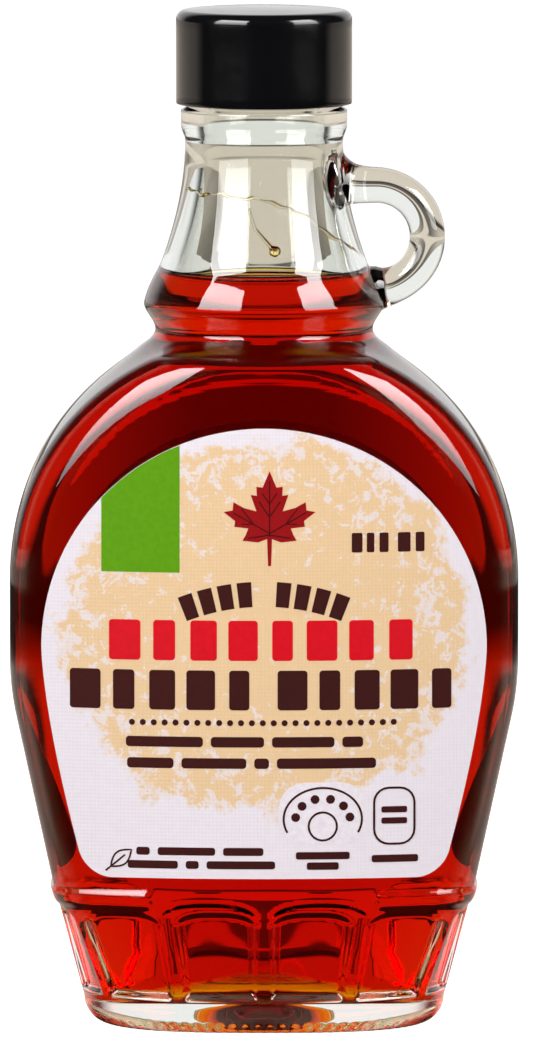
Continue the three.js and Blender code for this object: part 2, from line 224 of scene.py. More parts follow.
# Studio: how bright the room and the table are to all rays but the camera's own, and where the two soft boxes
# stand. TABLE_REACH is distances from the flask in metres, and TABLE_BANDS the table's light at each
ROOM_BACK = 1.0
ROOM_FRONT = 0.03
ROOM_TURN = (0.55, 0.8)
TABLE_TONE = (0.834, 0.745, 0.647, 1)
TABLE_REACH = (0, 0.58, 0.70, 1.0, 1.14, 1.48, 1.6, 2.45, 2.7)
TABLE_BANDS = (0.95, 0.95, 0.07, 0.07, 0.2, 0.2, 1.0, 1.0, 0.2)
TABLE_TURN = (-0.05, 0.2)
TABLE_SIDE_REACH = (0.82, 0.87)
TABLE_SIDE_TURN = (0.05, 0.42)
TABLE_SIDE_TONE = (0.15, 0.72)
BOX_DISTANCE = 0.9
BOX_RADIANCE = 6.6
BOX_GLOW = (4.4, 15.0)
BOX_LAMP_SHARE = 0.3
BOX_Z = 0.12
# Each box is its name, the headings in degrees that it spans and the elevations in degrees that it spans
SOFT_BOXES = (("soft_box_left", -68, -23, 3, 45), ("soft_box_right", 40, 75, 3, 45))

CAMERA_DISTANCE = 4.0
CAMERA_ELEVATION = 5
CAMERA_TARGET = (0.0004, 0, 0.0829)
CAMERA_SENSOR = 36
PICTURE_WIDTH = 0.1703
FLOOR_REACH = 30.0
FLOOR_SIDES = 96

# Mesh fineness
COLUMNS = 480
HOLLOW_COLUMNS = 240
DOME_SHARES = (0.06, 0.15, 0.26, 0.38, 0.5, 0.62, 0.74, 0.87, 1.0)
DIRECTIONS = np.linspace(0, math.pi / 2, 321)
HALVINGS = 34
FARTHEST = 80.0
BELT_STEPS = 400
MENISCUS_STEPS = (0.3, 0.7, 1.2, 1.9, 2.8, 4.0, 6.0, 9.0, 12.0)
MENISCUS_FALL = 1.1


def linear(text):
    """sRGB hex to linear red, green and blue."""
    parts = [int(text[i:i + 2], 16) / 255 for i in (1, 3, 5)]
    return tuple(p / 12.92 if p <= 0.04045 else ((p + 0.055) / 1.055) ** 2.4 for p in parts)


class FlaskSizes(bpy.types.PropertyGroup):
    """Sizes that a user would change."""
    fill: FloatProperty(name="Fill level", description="Height of the syrup's surface above the table",
                        default=0.1221, min=0.03, max=0.14, unit="LENGTH")
    meniscus: FloatProperty(name="Meniscus", description="How far the syrup climbs the wall at its surface",
                            default=0.0014, min=0, max=0.003, unit="LENGTH")
    overlap: FloatProperty(name="Syrup overlap", description="How far the syrup reaches into the wall",
                           default=0.0003, min=0.0001, max=0.001, unit="LENGTH")
    paper: FloatProperty(name="Paper", description="Thickness of the label paper",
                         default=0.0002, min=0.0001, max=0.0005, unit="LENGTH")
    ink: FloatProperty(name="Ink", description="Thickness of a printed layer",
                       default=0.00003, min=0.00001, max=0.0001, unit="LENGTH")


class FlaskColours(bpy.types.PropertyGroup):
    """Colours that a user would change."""
    glass: FloatVectorProperty(name="Glass", description="Tint of the glass", subtype="COLOR",
                               size=3, min=0, max=1, default=linear("#F4F6F1"))
    syrup_depth: FloatProperty(name="Syrup depth", default=750, min=10, max=3000,
                               description="Absorption of the syrup in blue light, per metre")
    syrup_tint: FloatVectorProperty(name="Syrup tint", subtype="COLOR", size=3, min=0, max=1,
                                    description="Share of that absorption that each colour is spared",
                                    default=(0.9905, 0.8, 0.0))
    cap: FloatVectorProperty(name="Cap", description="Colour of the cap", subtype="COLOR",
                             size=3, min=0, max=1, default=linear("#0B0B0D"))
    paper: FloatVectorProperty(name="Paper", description="Colour of the bare label paper", subtype="COLOR",
                               size=3, min=0, max=1, default=linear("#EFE6ED"))
    field: FloatVectorProperty(name="Field", description="Colour of the mottled field", subtype="COLOR",
                               size=3, min=0, max=1, default=linear("#EDC99C"))
    leaf: FloatVectorProperty(name="Leaf red", description="Colour of the printed leaf",
                              subtype="COLOR", size=3, min=0, max=1, default=linear("#930308"))
    red: FloatVectorProperty(name="Red", description="Colour of the red row", subtype="COLOR",
                             size=3, min=0, max=1, default=linear("#D8041A"))
    green: FloatVectorProperty(name="Green", description="Colour of the corner box", subtype="COLOR",
                               size=3, min=0, max=1, default=linear("#5C9A00"))
    brown: FloatVectorProperty(name="Brown", description="Colour of the brown rows, bars and dots",
                               subtype="COLOR", size=3, min=0, max=1, default=linear("#36100E"))


# Shapes


def mix(a, b, share):
    return a + (b - a) * share


def rise(low, high, value):
    return np.clip((value - low) / (high - low), 0, 1)


def ease(low, high, value):
    share = rise(low, high, value)
    return share * share * (3 - 2 * share)


def neck_radius(z):
    """Radius of the bell, neck, bead and mouth."""
    groove = mix(GROOVE_RADIUS, BELL_RADIUS, ease(GROOVE_Z, BELL_Z, z))
    fall = 1 - rise(BELL_Z, NECK_Z, z)
    lip = BELL_LIP * math.sin(math.pi * rise(BELL_Z, BELL_Z + BELL_LIP_HEIGHT, z))
    bell = NECK_RADIUS + (BELL_RADIUS - NECK_RADIUS) * fall ** BELL_POWER + lip
    bead = mix(NECK_RADIUS, BEAD_RADIUS, ease(NECK_Z, BEAD_LOW_Z, z))
    mouth = mix(BEAD_RADIUS, MOUTH_RADIUS, ease(BEAD_HIGH_Z + BEAD_TURN[0], BEAD_HIGH_Z + BEAD_TURN[1], z))
    return groove if z < BELL_Z else bell if z < NECK_Z else bead if z < BEAD_LOW_Z else mouth


def rim_distance(x, z):
    """Distance in from the outline of the disc, seen from the front."""
    angle = math.atan(FLANK_SLOPE)
    up, down = np.maximum(z - UPPER_ARC_Z, 0), np.maximum(LOWER_ARC_Z - z, 0)
    arc = ARC_RADIUS - np.hypot(x, up + down)
    flank = ARC_RADIUS - np.abs(x) * math.cos(angle) - down * math.sin(angle)
    return np.where(down > np.abs(x) * math.tan(angle), flank, arc)


def face_depth(x, z, inset=0.0, rim=RIM_RADIUS):
    """Half-depth of the disc at a place on its face, with its rim rounded."""
    bow = FACE_RADIUS - np.sqrt(FACE_RADIUS ** 2 - np.minimum(np.abs(x), FACE_REACH) ** 2)
    flat = FACE_HALF_DEPTH - bow - inset
    distance = rim_distance(x, z) - inset - SIDE_BULGE * (flat / FACE_HALF_DEPTH) ** 2
    turn = 1 - np.clip(distance / rim, 0, 1)
    return flat - rim * (1 - np.sqrt(1 - turn ** 2))


def reach(inside):
    """How far a form reaches from the axis, in directions from the front round to the side."""
    low = np.zeros_like(DIRECTIONS)
    high = np.full_like(DIRECTIONS, FARTHEST)
    for _ in range(HALVINGS):
        middle = (low + high) / 2
        within = inside(middle * np.sin(DIRECTIONS), middle * np.cos(DIRECTIONS))
        low = np.where(within, middle, low)
        high = np.where(within, high, middle)
    return low


def disc_reach(z, inset, rim):
    def inside(x, y):
        distance = rim_distance(x, z) - inset - SIDE_BULGE * (y / FACE_HALF_DEPTH) ** 2
        turn = 1 - np.clip(distance / rim, 0, 1)
        bow = FACE_RADIUS - np.sqrt(FACE_RADIUS ** 2 - np.minimum(x, FACE_REACH) ** 2)
        depth = FACE_HALF_DEPTH - bow - inset - rim * (1 - np.sqrt(1 - turn ** 2))
        return (distance > 0) & (y < depth)
    return reach(inside)


def oval_reach(width, depth, corner):
    return reach(lambda x, y: (x < width) & (y < depth * np.sqrt(1 - np.minimum(x / width, 1) ** corner)))


def body_reach(z, inset=0.0, rim=RIM_RADIUS):
    """The body above the belt: a disc with a rounded rim that runs into the round neck."""
    if z > GROOVE_Z:
        return np.full_like(DIRECTIONS, neck_radius(z) - inset)
    disc, neck = disc_reach(z, inset, rim), GROOVE_RADIUS - inset
    side = np.sin(DIRECTIONS) ** 2
    fillet = mix(FRONT_BLEND * ease(FRONT_BLEND_LOW_Z, FRONT_BLEND_HIGH_Z, z),
                 SHOULDER_BLEND * ease(UPPER_ARC_Z, SHOULDER_Z, z), side)
    joined = (disc + neck + np.hypot(disc - neck, fillet)) / 2
    start = mix(GROOVE_Z - FRONT_TURN, GROOVE_Z - SIDE_TURN, side)
    return mix(joined, neck, ease(start, GROOVE_Z, z))


def foot_reach(z, inset=0.0, rim=RIM_RADIUS):
    """The foot: straight from the heel to the belt, with a rounded heel over the standing ring."""
    heel = oval_reach(HEEL_HALF_WIDTH - inset, HEEL_HALF_DEPTH - inset, HEEL_CORNER)
    if z < HEEL_Z:
        stand = oval_reach(STAND_HALF_WIDTH - inset, STAND_HALF_DEPTH - inset, HEEL_CORNER)
        return mix(stand, heel, math.sqrt(1 - (1 - z / HEEL_Z) ** 2))
    return mix(heel, body_reach(BELT_Z, inset, rim), rise(HEEL_Z, BELT_Z, z))


def outline(distance, turns):
    """Points of a section at shares of one turn, from the front middle by the +X side."""
    x, y = distance * np.sin(DIRECTIONS), distance * np.cos(DIRECTIONS)
    along = np.concatenate([[0], np.cumsum(np.hypot(np.diff(x), np.diff(y)))])
    quarter = np.floor(turns * 4 + 1e-9) % 4
    share = turns * 4 - np.floor(turns * 4 + 1e-9)
    share = np.where(quarter % 2 == 1, 1 - share, share) * along[-1]
    side = np.where(quarter < 2, 1, -1)
    front = np.where((quarter == 0) | (quarter == 3), -1, 1)
    return np.stack([side * np.interp(share, along, x), front * np.interp(share, along, y)], axis=-1)


def even(count):
    return np.arange(count) / count


def level(points, z):
    """A ring of points at one height."""
    return np.column_stack([points, np.broadcast_to(z, len(points))])


def skin_mesh(name, rings, first=None, last=None):
    """A closed skin over rings of points. first and last are the middle points that close its ends."""
    count = len(rings[0])
    points = np.concatenate(rings + [np.array([p]) for p in (first, last) if p is not None])
    faces = []
    steps = np.arange(count)
    after = (steps + 1) % count
    for j in range(len(rings) - 1):
        a, b = j * count, (j + 1) * count
        faces.append(np.column_stack([a + steps, a + after, b + after, b + steps]))
    quads = np.concatenate(faces).tolist()
    bottom = len(rings) * count
    top = (len(rings) - 1) * count
    quads += [(bottom, int(n), int(s)) for s, n in zip(steps, after)]
    quads += [(bottom + 1, top + int(s), top + int(n)) for s, n in zip(steps, after)]
    mesh = bpy.data.meshes.new(name)
    mesh.from_pydata((points * MM).tolist(), [], quads)
    mesh.validate()
    return mesh


def piece(name, mesh, node=None, materials=(), crisp=False):
    """Links a mesh as a piece of the flask on its body, in place of a node where one is given."""
    made = bpy.data.objects.new(name, mesh)
    bpy.context.scene.collection.objects.link(made)
    mesh.shade_smooth()
    if crisp:
        mesh.set_sharp_from_angle(angle=math.radians(40))
    for material in materials:
        mesh.materials.append(material)
    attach(made, BODY)
    if node:
        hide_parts(node)
    return made


def flute_share(turns):
    """Place across a flute, -1 to 1 over its whole pitch."""
    return (turns * FLUTES) % 1 * 2 - 1


def foot_ring(turns, z, pitch):
    """One ring of the foot, with its flutes sunk, its belt proud and its standing edge knurled."""
    section = foot_reach(z)
    here = outline(section, turns)
    ahead = outline(section, turns + FLUTE_LOOK_AHEAD)
    behind = outline(section, turns - FLUTE_LOOK_AHEAD)
    normal = np.column_stack([ahead[:, 1] - behind[:, 1], behind[:, 0] - ahead[:, 0]])
    normal /= np.linalg.norm(normal, axis=1)[:, None]
    across = np.abs(flute_share(turns))
    side = (FLUTE_SHARE - across) * pitch / 2
    arch = FLUTE_SPRING_Z + FLUTE_ARCH_RISE * np.sqrt(1 - np.minimum(across / FLUTE_SHARE, 1) ** 3)
    inside = np.minimum(np.minimum(side, arch - z), z - FLUTE_BOTTOM_Z)
    step = -FLUTE_DEPTH * ease(0, FLUTE_BEVEL, inside)
    proud = ease(LEDGE_GAP_HALF_WIDTH - 0.5, LEDGE_GAP_HALF_WIDTH + 0.5, np.abs(here[:, 0]))
    rounded = ease(FLUTE_SPRING_Z + FLUTE_ARCH_RISE - 0.4, BELT_LOW_Z + 0.5, z)
    rounded *= 1 - ease(BELT_Z - BELT_EDGE, BELT_Z, z)
    step = step + LEDGE * proud * rounded
    knurl = KNURL_DEPTH * (0.5 - 0.5 * np.cos(2 * math.pi * KNURLS * turns))
    step = step - knurl * (1 - ease(KNURL_HEIGHT * KNURL_FADE, KNURL_HEIGHT, z))
    return level(here + normal * step[:, None], z)


def inner_reach(z, wall):
    """The space inside the glass at a height, for a wall of that thickness."""
    if z > NECK_Z - BORE_DROP:
        return np.full_like(DIRECTIONS, BORE_RADIUS + WALL - wall)
    if z < BELT_Z:
        return foot_reach(max(z, HEEL_Z), wall + FLUTE_DEPTH * FLUTE_WALL_SHARE, INNER_RIM_RADIUS)
    sunk = FLUTE_DEPTH * FLUTE_WALL_SHARE * (1 - ease(BELT_Z, BELT_Z + FLUTE_WALL_FADE, z))
    return np.maximum(body_reach(z, wall + sunk, INNER_RIM_RADIUS), BORE_RADIUS + WALL - wall)


def dome(share):
    """Height of a smooth dome, as a share of its rise, at a share of the way out from its middle."""
    return (1 + math.cos(math.pi * share)) / 2


def inner_rings(turns, wall, heights):
    """Rings of the inside, from the rounded floor corner up through the given heights."""
    floor = FLOOR_Z + wall - WALL
    flat = inner_reach(floor, wall) - FLOOR_CORNER
    rings = [level(outline(flat * share, turns), floor + FLOOR_DOME * dome(share))
             for share in DOME_SHARES[:-1]]
    for turn in np.radians(np.linspace(0, 90, 10)):
        z = floor + FLOOR_CORNER * (1 - math.cos(turn))
        rings.append(level(outline(inner_reach(z, wall) - FLOOR_CORNER * (1 - math.sin(turn)), turns), z))
    for z in heights:
        if z > floor + FLOOR_CORNER + 0.3:
            rings.append(level(outline(inner_reach(z, wall), turns), z))
    return rings


def glass_mesh(fill):
    """The flask as one closed skin: push-up, foot, body, neck, mouth and inside."""
    turns = even(COLUMNS)
    stand = foot_reach(0.0)
    belt = outline(foot_reach(BELT_Z), even(BELT_STEPS))
    pitch = np.linalg.norm(np.diff(belt, axis=0), axis=1).sum() / FLUTES
    rings = []
    for share in DOME_SHARES:
        section = (stand - STAND_WIDTH - PUSH_UP_SLOPE) * share
        rings.append(level(outline(section, turns), PUSH_UP + PUSH_UP_DOME * dome(share)))
    for turn in np.radians([20, 50, 80]):
        section = stand - STAND_WIDTH - PUSH_UP_SLOPE * (1 - math.sin(turn))
        rings.append(level(outline(section, turns), PUSH_UP * math.cos(turn)))
    rings.append(level(outline(stand - STAND_WIDTH * STAND_MIDDLE, turns), 0.0))
    for turn in np.radians(np.linspace(4, 90, 14)):
        z = HEEL_Z * (1 - math.cos(turn))
        rings.append(foot_ring(turns, z, pitch))
    for z in np.arange(HEEL_Z + 0.33, BELT_Z + 0.01, 0.325):
        rings.append(foot_ring(turns, z, pitch))
    heights = np.concatenate([
        np.arange(BELT_Z + 0.6, SHOULDER_Z, 1.2),
        np.arange(SHOULDER_Z, BELL_Z + 2, 0.45),
        np.arange(BELL_Z + 2.4, NECK_Z, 1.0),
        np.arange(NECK_Z, BEAD_HIGH_Z + 0.6, 0.25),
        np.arange(BEAD_HIGH_Z + 1, MOUTH_Z - 1, 2.0)])
    for z in heights:
        rings.append(level(outline(body_reach(z), turns), z))
    for wide, sign, first, last in ((MOUTH_RADIUS, -1, 0, 90), (BORE_RADIUS, 1, 90, 0)):
        for turn in np.radians(np.linspace(first, last, 5)):
            lip = np.full_like(DIRECTIONS, wide + sign * MOUTH_EDGE * (1 - math.cos(turn)))
            rings.append(level(outline(lip, turns), MOUTH_Z - MOUTH_EDGE * (1 - math.sin(turn))))
    down = np.concatenate([np.arange(NECK_Z - BORE_FIRST_DROP, SHOULDER_Z, -1.2),
                           np.arange(SHOULDER_Z, INNER_START_Z, -1.5)])
    inside = inner_rings(turns, WALL, sorted(down))
    outer_faces = len(rings) * COLUMNS
    rings += inside[::-1]
    mesh = skin_mesh("glass_flask", rings, (0, 0, PUSH_UP + PUSH_UP_DOME), (0, 0, FLOOR_Z + FLOOR_DOME))
    # Two fans of faces come last: the push-up's, which is dry, and the inside floor's, which the syrup wets
    dry_fan = range(len(mesh.polygons) - 2 * COLUMNS, len(mesh.polygons) - COLUMNS)
    wetted = [int(face.index >= outer_faces and face.index not in dry_fan and face.center.z < fill)
              for face in mesh.polygons]
    for _ in range(2):
        mesh.materials.append(None)
    mesh.polygons.foreach_set("material_index", wetted)
    return mesh


def ring_mesh():
    """The finger ring: a loop, open to the neck, that flares where it leaves the glass."""
    low, high = RING_Z - RING_HALF_HEIGHT, RING_Z + RING_HALF_HEIGHT
    path = [(x, low) for x in np.linspace(RING_LOW_ROOT_X, RING_X, 4)[:-1]]
    for turn in np.linspace(-math.pi / 2, math.pi / 2, 57):
        path.append((RING_X + RING_HALF_WIDTH * math.cos(turn), RING_Z + RING_HALF_HEIGHT * math.sin(turn)))
    path += [(x, high) for x in np.linspace(RING_X, RING_TOP_ROOT_X, 22)[1:]]
    path = np.array(path)
    tangent = np.gradient(path, axis=0)
    tangent /= np.linalg.norm(tangent, axis=1)[:, None]
    angle = np.linspace(0, 2 * math.pi, 48, endpoint=False)
    rings = []
    for (x, z), (tx, tz) in zip(path, tangent):
        at_top = z > RING_Z
        root = NECK_RADIUS if at_top else BELL_RADIUS - LOW_FLARE
        flare = math.exp(-max(0, x - root) / FLARE_LENGTH)
        outward = np.sin(angle) > 0
        swell = flare * np.where(outward, TOP_FLARE if at_top else LOW_FLARE, LOW_FLARE / 2)
        across = np.sin(angle) * (RING_THICKNESS / 2 + swell)
        deep = np.cos(angle) * (RING_DEPTH / 2 + flare * LOW_FLARE)
        rings.append(np.column_stack([x + tz * across, deep, z - tx * across]))
    first, last = ((x, 0, z) for x, z in (path[0], path[-1]))
    return skin_mesh("finger_ring", rings, first, last)


def outward(mesh):
    """Turns every face of a closed mesh outwards."""
    work = bmesh.new()
    work.from_mesh(mesh)
    bmesh.ops.recalc_face_normals(work, faces=work.faces)
    if work.calc_volume(signed=True) < 0:
        bmesh.ops.reverse_faces(work, faces=work.faces)
    work.to_mesh(mesh)
    work.free()
    return mesh


# Materials


def add(tree, kind, settings=None, links=None):
    """Adds a node with its settings, and links its inputs from other nodes' outputs."""
    node = tree.nodes.new(kind)
    for key, value in (settings or {}).items():
        if isinstance(key, str) and hasattr(node, key):
            setattr(node, key, value)
        else:
            node.inputs[key].default_value = value
    for key, source in (links or {}).items():
        tree.links.new(source, node.inputs[key])
    return node


def material(name):
    made = bpy.data.materials.new(name)
    made.use_nodes = True
    made.node_tree.nodes.clear()
    return made, made.node_tree


def finish_surface(tree, shader, volume=None):
    links = {"Surface": shader.outputs["BSDF"]}
    if volume:
        links["Volume"] = volume.outputs["Volume"]
    return add(tree, "ShaderNodeOutputMaterial", links=links)


def glass_material(colours, wet=False):
    """Flint glass, pressed and fire-polished: clear, a trace grey-green, with slow waves in its skin.
    Where syrup wets it, it hardly mirrors, because the two bend light almost alike."""
    made, tree = material("wetted_flint_glass" if wet else "pressed_flint_glass")
    place = add(tree, "ShaderNodeTexCoord")
    # Waves about 9 mm apart, as the mould's chill leaves them under the fire polish
    waves = add(tree, "ShaderNodeTexNoise", {"Scale": 110.0, "Detail": 1.0, "Roughness": 0.4},
                {"Vector": place.outputs["Object"]})
    bump = add(tree, "ShaderNodeBump", {"Strength": 0.03, "Distance": 0.0004},
               {"Height": waves.outputs["Fac"]})
    shader = add(tree, "ShaderNodeBsdfPrincipled", {
        "Base Color": (*colours.glass, 1), "Roughness": 0.0, "IOR": 1.52, "Transmission Weight": 1.0,
        "Specular Tint": (0, 0, 0, 1) if wet else (1, 1, 1, 1)}, {"Normal": bump.outputs["Normal"]})
    finish_surface(tree, shader)
    return made


def syrup_material(colours):
    """Boiled maple sap: a clear liquid, red-black in depth and gold where it is thin."""
    made, tree = material("dark_maple_syrup")
    place = add(tree, "ShaderNodeTexCoord")
    haze = add(tree, "ShaderNodeTexNoise", {"Scale": 180.0, "Detail": 2.0},
               {"Vector": place.outputs["Object"]})
    rough = add(tree, "ShaderNodeMapRange", {"To Min": 0.0, "To Max": 0.03}, {"Value": haze.outputs["Fac"]})
    shader = add(tree, "ShaderNodeBsdfPrincipled", {
        "Base Color": (1, 1, 1, 1), "IOR": 1.47, "Transmission Weight": 1.0, "Specular Tint": (0, 0, 0, 1)},
        {"Roughness": rough.outputs["Result"]})
    volume = add(tree, "ShaderNodeVolumeAbsorption", {
        "Color": (*colours.syrup_tint, 1), "Density": colours.syrup_depth})
    finish_surface(tree, shader, volume)
    return made


def thin_syrup_material(colours):
    """The same syrup where it clings in runs, lines and bubbles: pale gold, and glossy as wet things are."""
    made, tree = material("thin_maple_syrup")
    place = add(tree, "ShaderNodeTexCoord")
    slow = add(tree, "ShaderNodeTexNoise", {"Scale": 400.0, "Detail": 1.0},
               {"Vector": place.outputs["Object"]})
    bump = add(tree, "ShaderNodeBump", {"Strength": 0.15, "Distance": 0.0002},
               {"Height": slow.outputs["Fac"]})
    shader = add(tree, "ShaderNodeBsdfPrincipled", {
        "Base Color": (1, 1, 1, 1), "Roughness": 0.0, "IOR": 1.47, "Transmission Weight": 1.0},
        {"Normal": bump.outputs["Normal"]})
    volume = add(tree, "ShaderNodeVolumeAbsorption", {
        "Color": (*colours.syrup_tint, 1), "Density": colours.syrup_depth})
    finish_surface(tree, shader, volume)
    return made


def cap_material(colours):
    """Polypropylene, injection moulded: black and glossy, with a faint orange peel and rubbed specks."""
    made, tree = material("moulded_black_polypropylene")
    place = add(tree, "ShaderNodeTexCoord")
    peel = add(tree, "ShaderNodeTexNoise", {"Scale": 500.0, "Detail": 2.0},
               {"Vector": place.outputs["Object"]})
    rub = add(tree, "ShaderNodeTexNoise", {"Scale": 90.0, "Detail": 5.0, "Roughness": 0.7},
              {"Vector": place.outputs["Object"]})
    rough = add(tree, "ShaderNodeMapRange", {
        "From Min": 0.35, "From Max": 0.7, "To Min": 0.08, "To Max": 0.17}, {"Value": rub.outputs["Fac"]})
    bump = add(tree, "ShaderNodeBump", {"Strength": 0.08, "Distance": 0.0001},
               {"Height": peel.outputs["Fac"]})
    shader = add(tree, "ShaderNodeBsdfPrincipled", {"Base Color": (*colours.cap, 1), "IOR": 1.49},
                 {"Roughness": rough.outputs["Result"], "Normal": bump.outputs["Normal"]})
    finish_surface(tree, shader)
    return made


def paper_material(colours, printed):
    """Uncoated label paper, machine made: off-white, with a faint linen emboss and short fibres. On the front
    a ragged field is printed in a tint of tan, broken up by flecks of bare paper."""
    made, tree = material("uncoated_printed_paper" if printed else "uncoated_plain_paper")
    place = add(tree, "ShaderNodeTexCoord")
    fibre = add(tree, "ShaderNodeTexNoise", {"Scale": 900.0, "Detail": 3.0, "Roughness": 0.65},
                {"Vector": place.outputs["Object"]})
    tone = add(tree, "ShaderNodeMapRange", {"To Min": 0.94, "To Max": 1.03}, {"Value": fibre.outputs["Fac"]})
    shade = (*colours.paper, 1)
    links = {7: tone.outputs["Result"]}
    if printed:
        links[6] = printed_field(tree, place, colours).outputs[2]
    mottled = add(tree, "ShaderNodeMix", {
        "data_type": "RGBA", "blend_type": "MULTIPLY", 0: 1.0, 6: shade}, links)
    # The linen emboss has 0.25 mm threads, drawn 0.6 mm apart so that it shows
    threads = [add(tree, "ShaderNodeTexWave", {
        "bands_direction": axis, "Scale": 520.0, "Distortion": 0.6, "Detail": 1.0},
        {"Vector": place.outputs["Object"]}) for axis in ("X", "Z")]
    linen = add(tree, "ShaderNodeMath", {"operation": "ADD"},
                {i: wave.outputs["Fac"] for i, wave in enumerate(threads)})
    relief = add(tree, "ShaderNodeMath", {"operation": "ADD"},
                 {0: linen.outputs["Value"], 1: fibre.outputs["Fac"]})
    bump = add(tree, "ShaderNodeBump", {"Strength": 0.22, "Distance": 0.00005},
               {"Height": relief.outputs["Value"]})
    shader = add(tree, "ShaderNodeBsdfPrincipled", {
        "Roughness": 0.65, "IOR": 1.5, "Specular IOR Level": 0.25},
        {"Base Color": mottled.outputs[2], "Normal": bump.outputs["Normal"]})
    finish_surface(tree, shader)
    return made


def printed_field(tree, place, colours):
    """Bare paper that turns to a tan tint over a ragged oval, which thins out at its edge."""
    flat = add(tree, "ShaderNodeMapping", {
        "Location": (0, 0, -FIELD_MIDDLE_Z / FIELD_HALF_HEIGHT),
        "Scale": (1 / (FIELD_HALF_WIDTH * MM), 0, 1 / (FIELD_HALF_HEIGHT * MM))},
        {"Vector": place.outputs["Object"]})
    away = add(tree, "ShaderNodeVectorMath", {"operation": "LENGTH"}, {0: flat.outputs["Vector"]})
    # Clumps 9 mm across, down to specks of half a millimetre
    clumps = add(tree, "ShaderNodeTexNoise", {"Scale": 110.0, "Detail": 6.0, "Roughness": 0.72},
                 {"Vector": place.outputs["Object"]})
    ragged = add(tree, "ShaderNodeMath", {"operation": "MULTIPLY_ADD", 1: 2 * FIELD_RAGGED},
                 {0: clumps.outputs["Fac"], 2: away.outputs["Value"]})
    inside = add(tree, "ShaderNodeMapRange", {
        "From Min": 1.0 + FIELD_RAGGED + FIELD_SOFTNESS, "From Max": 1.0 + FIELD_RAGGED - FIELD_SOFTNESS},
        {"Value": ragged.outputs["Value"]})
    # Flecks of bare paper between the clumps, about 1.5 mm apart and more of them near the edge
    flecks = add(tree, "ShaderNodeTexNoise", {
        "Scale": 420.0, "Detail": 4.0, "Roughness": 0.7, "Distortion": 0.4},
        {"Vector": place.outputs["Object"]})
    open_share = add(tree, "ShaderNodeMapRange", {
        "From Min": 0.35, "From Max": 1.0, "To Min": 0.0, "To Max": 0.14}, {"Value": away.outputs["Value"]})
    level_of = add(tree, "ShaderNodeMath", {"operation": "ADD"},
                   {0: flecks.outputs["Fac"], 1: open_share.outputs["Result"]})
    gaps = add(tree, "ShaderNodeMapRange", {
        "From Min": 0.62, "From Max": 0.68, "To Min": 1.0, "To Max": 0.3},
        {"Value": level_of.outputs["Value"]})
    share = add(tree, "ShaderNodeMath", {"operation": "MULTIPLY"},
                {0: inside.outputs["Result"], 1: gaps.outputs["Result"]})
    return add(tree, "ShaderNodeMix", {"data_type": "RGBA", 6: (*colours.paper, 1), 7: (*colours.field, 1)},
               {0: share.outputs["Value"]})


def ink_material(name, colour):
    """Offset ink on uncoated paper: matt, and a little uneven where the fibres take it."""
    made, tree = material(name)
    place = add(tree, "ShaderNodeTexCoord")
    fibre = add(tree, "ShaderNodeTexNoise", {"Scale": 1100.0, "Detail": 3.0, "Roughness": 0.6},
                {"Vector": place.outputs["Object"]})
    tone = add(tree, "ShaderNodeMapRange", {"To Min": 0.85, "To Max": 1.15}, {"Value": fibre.outputs["Fac"]})
    shade = add(tree, "ShaderNodeMix", {
        "data_type": "RGBA", "blend_type": "MULTIPLY", 0: 1.0, 6: (*colour, 1)}, {7: tone.outputs["Result"]})
    bump = add(tree, "ShaderNodeBump", {"Strength": 0.2, "Distance": 0.00005},
               {"Height": fibre.outputs["Fac"]})
    shader = add(tree, "ShaderNodeBsdfPrincipled", {
        "Roughness": 0.6, "IOR": 1.5, "Specular IOR Level": 0.12},
        {"Base Color": shade.outputs[2], "Normal": bump.outputs["Normal"]})
    finish_surface(tree, shader)
    return made


def studio_world(tree):
    """A white room as the camera sees it. All other rays meet a room that is bright behind the flask and
    almost dark in front of it, so what the glass refracts and mirrors is not what the camera sees."""
    tree.nodes.clear()
    place = add(tree, "ShaderNodeTexCoord")
    parts = add(tree, "ShaderNodeSeparateXYZ", links={"Vector": place.outputs["Generated"]})
    behind = add(tree, "ShaderNodeMapRange", {
        "interpolation_type": "SMOOTHSTEP", "From Min": ROOM_TURN[0], "From Max": ROOM_TURN[1],
        "To Min": ROOM_FRONT, "To Max": ROOM_BACK}, {"Value": parts.outputs["Y"]})
    path = add(tree, "ShaderNodeLightPath")
    seen = add(tree, "ShaderNodeMix", {"data_type": "FLOAT", 3: 1.0},
               {0: path.outputs["Is Camera Ray"], 2: behind.outputs["Result"]})
    light = add(tree, "ShaderNodeBackground", {"Color": (1, 1, 1, 1)}, {"Strength": seen.outputs[0]})
    add(tree, "ShaderNodeOutputWorld", links={"Surface": light.outputs["Background"]})


def soft_box_material(half_height):
    """A lit cloth that glows more towards its top, as its lamp hangs there."""
    made, tree = material("lit_soft_box_cloth")
    place = add(tree, "ShaderNodeTexCoord")
    parts = add(tree, "ShaderNodeSeparateXYZ", links={"Vector": place.outputs["Object"]})
    glow = add(tree, "ShaderNodeMapRange", {
        "From Min": -half_height, "From Max": half_height * BOX_LAMP_SHARE, "To Min": BOX_GLOW[0],
        "To Max": BOX_GLOW[1]}, {"Value": parts.outputs["Y"]})
    light = add(tree, "ShaderNodeEmission", {"Color": (1, 1, 1, 1)}, {"Strength": glow.outputs["Result"]})
    add(tree, "ShaderNodeOutputMaterial", links={"Surface": light.outputs["Emission"]})
    return made


def darker(colour, share):
    """A colour darkened to a share of its light."""
    return tuple(part * share for part in colour)


# Label shapes


def round_corner(z):
    """How far a label's side gives way at its rounded lower corners."""
    corner = np.clip((z - LABEL_BOTTOM_Z) / LABEL_CORNER, 0, 1)
    return LABEL_CORNER * (1 - np.sqrt(1 - (1 - corner) ** 2))


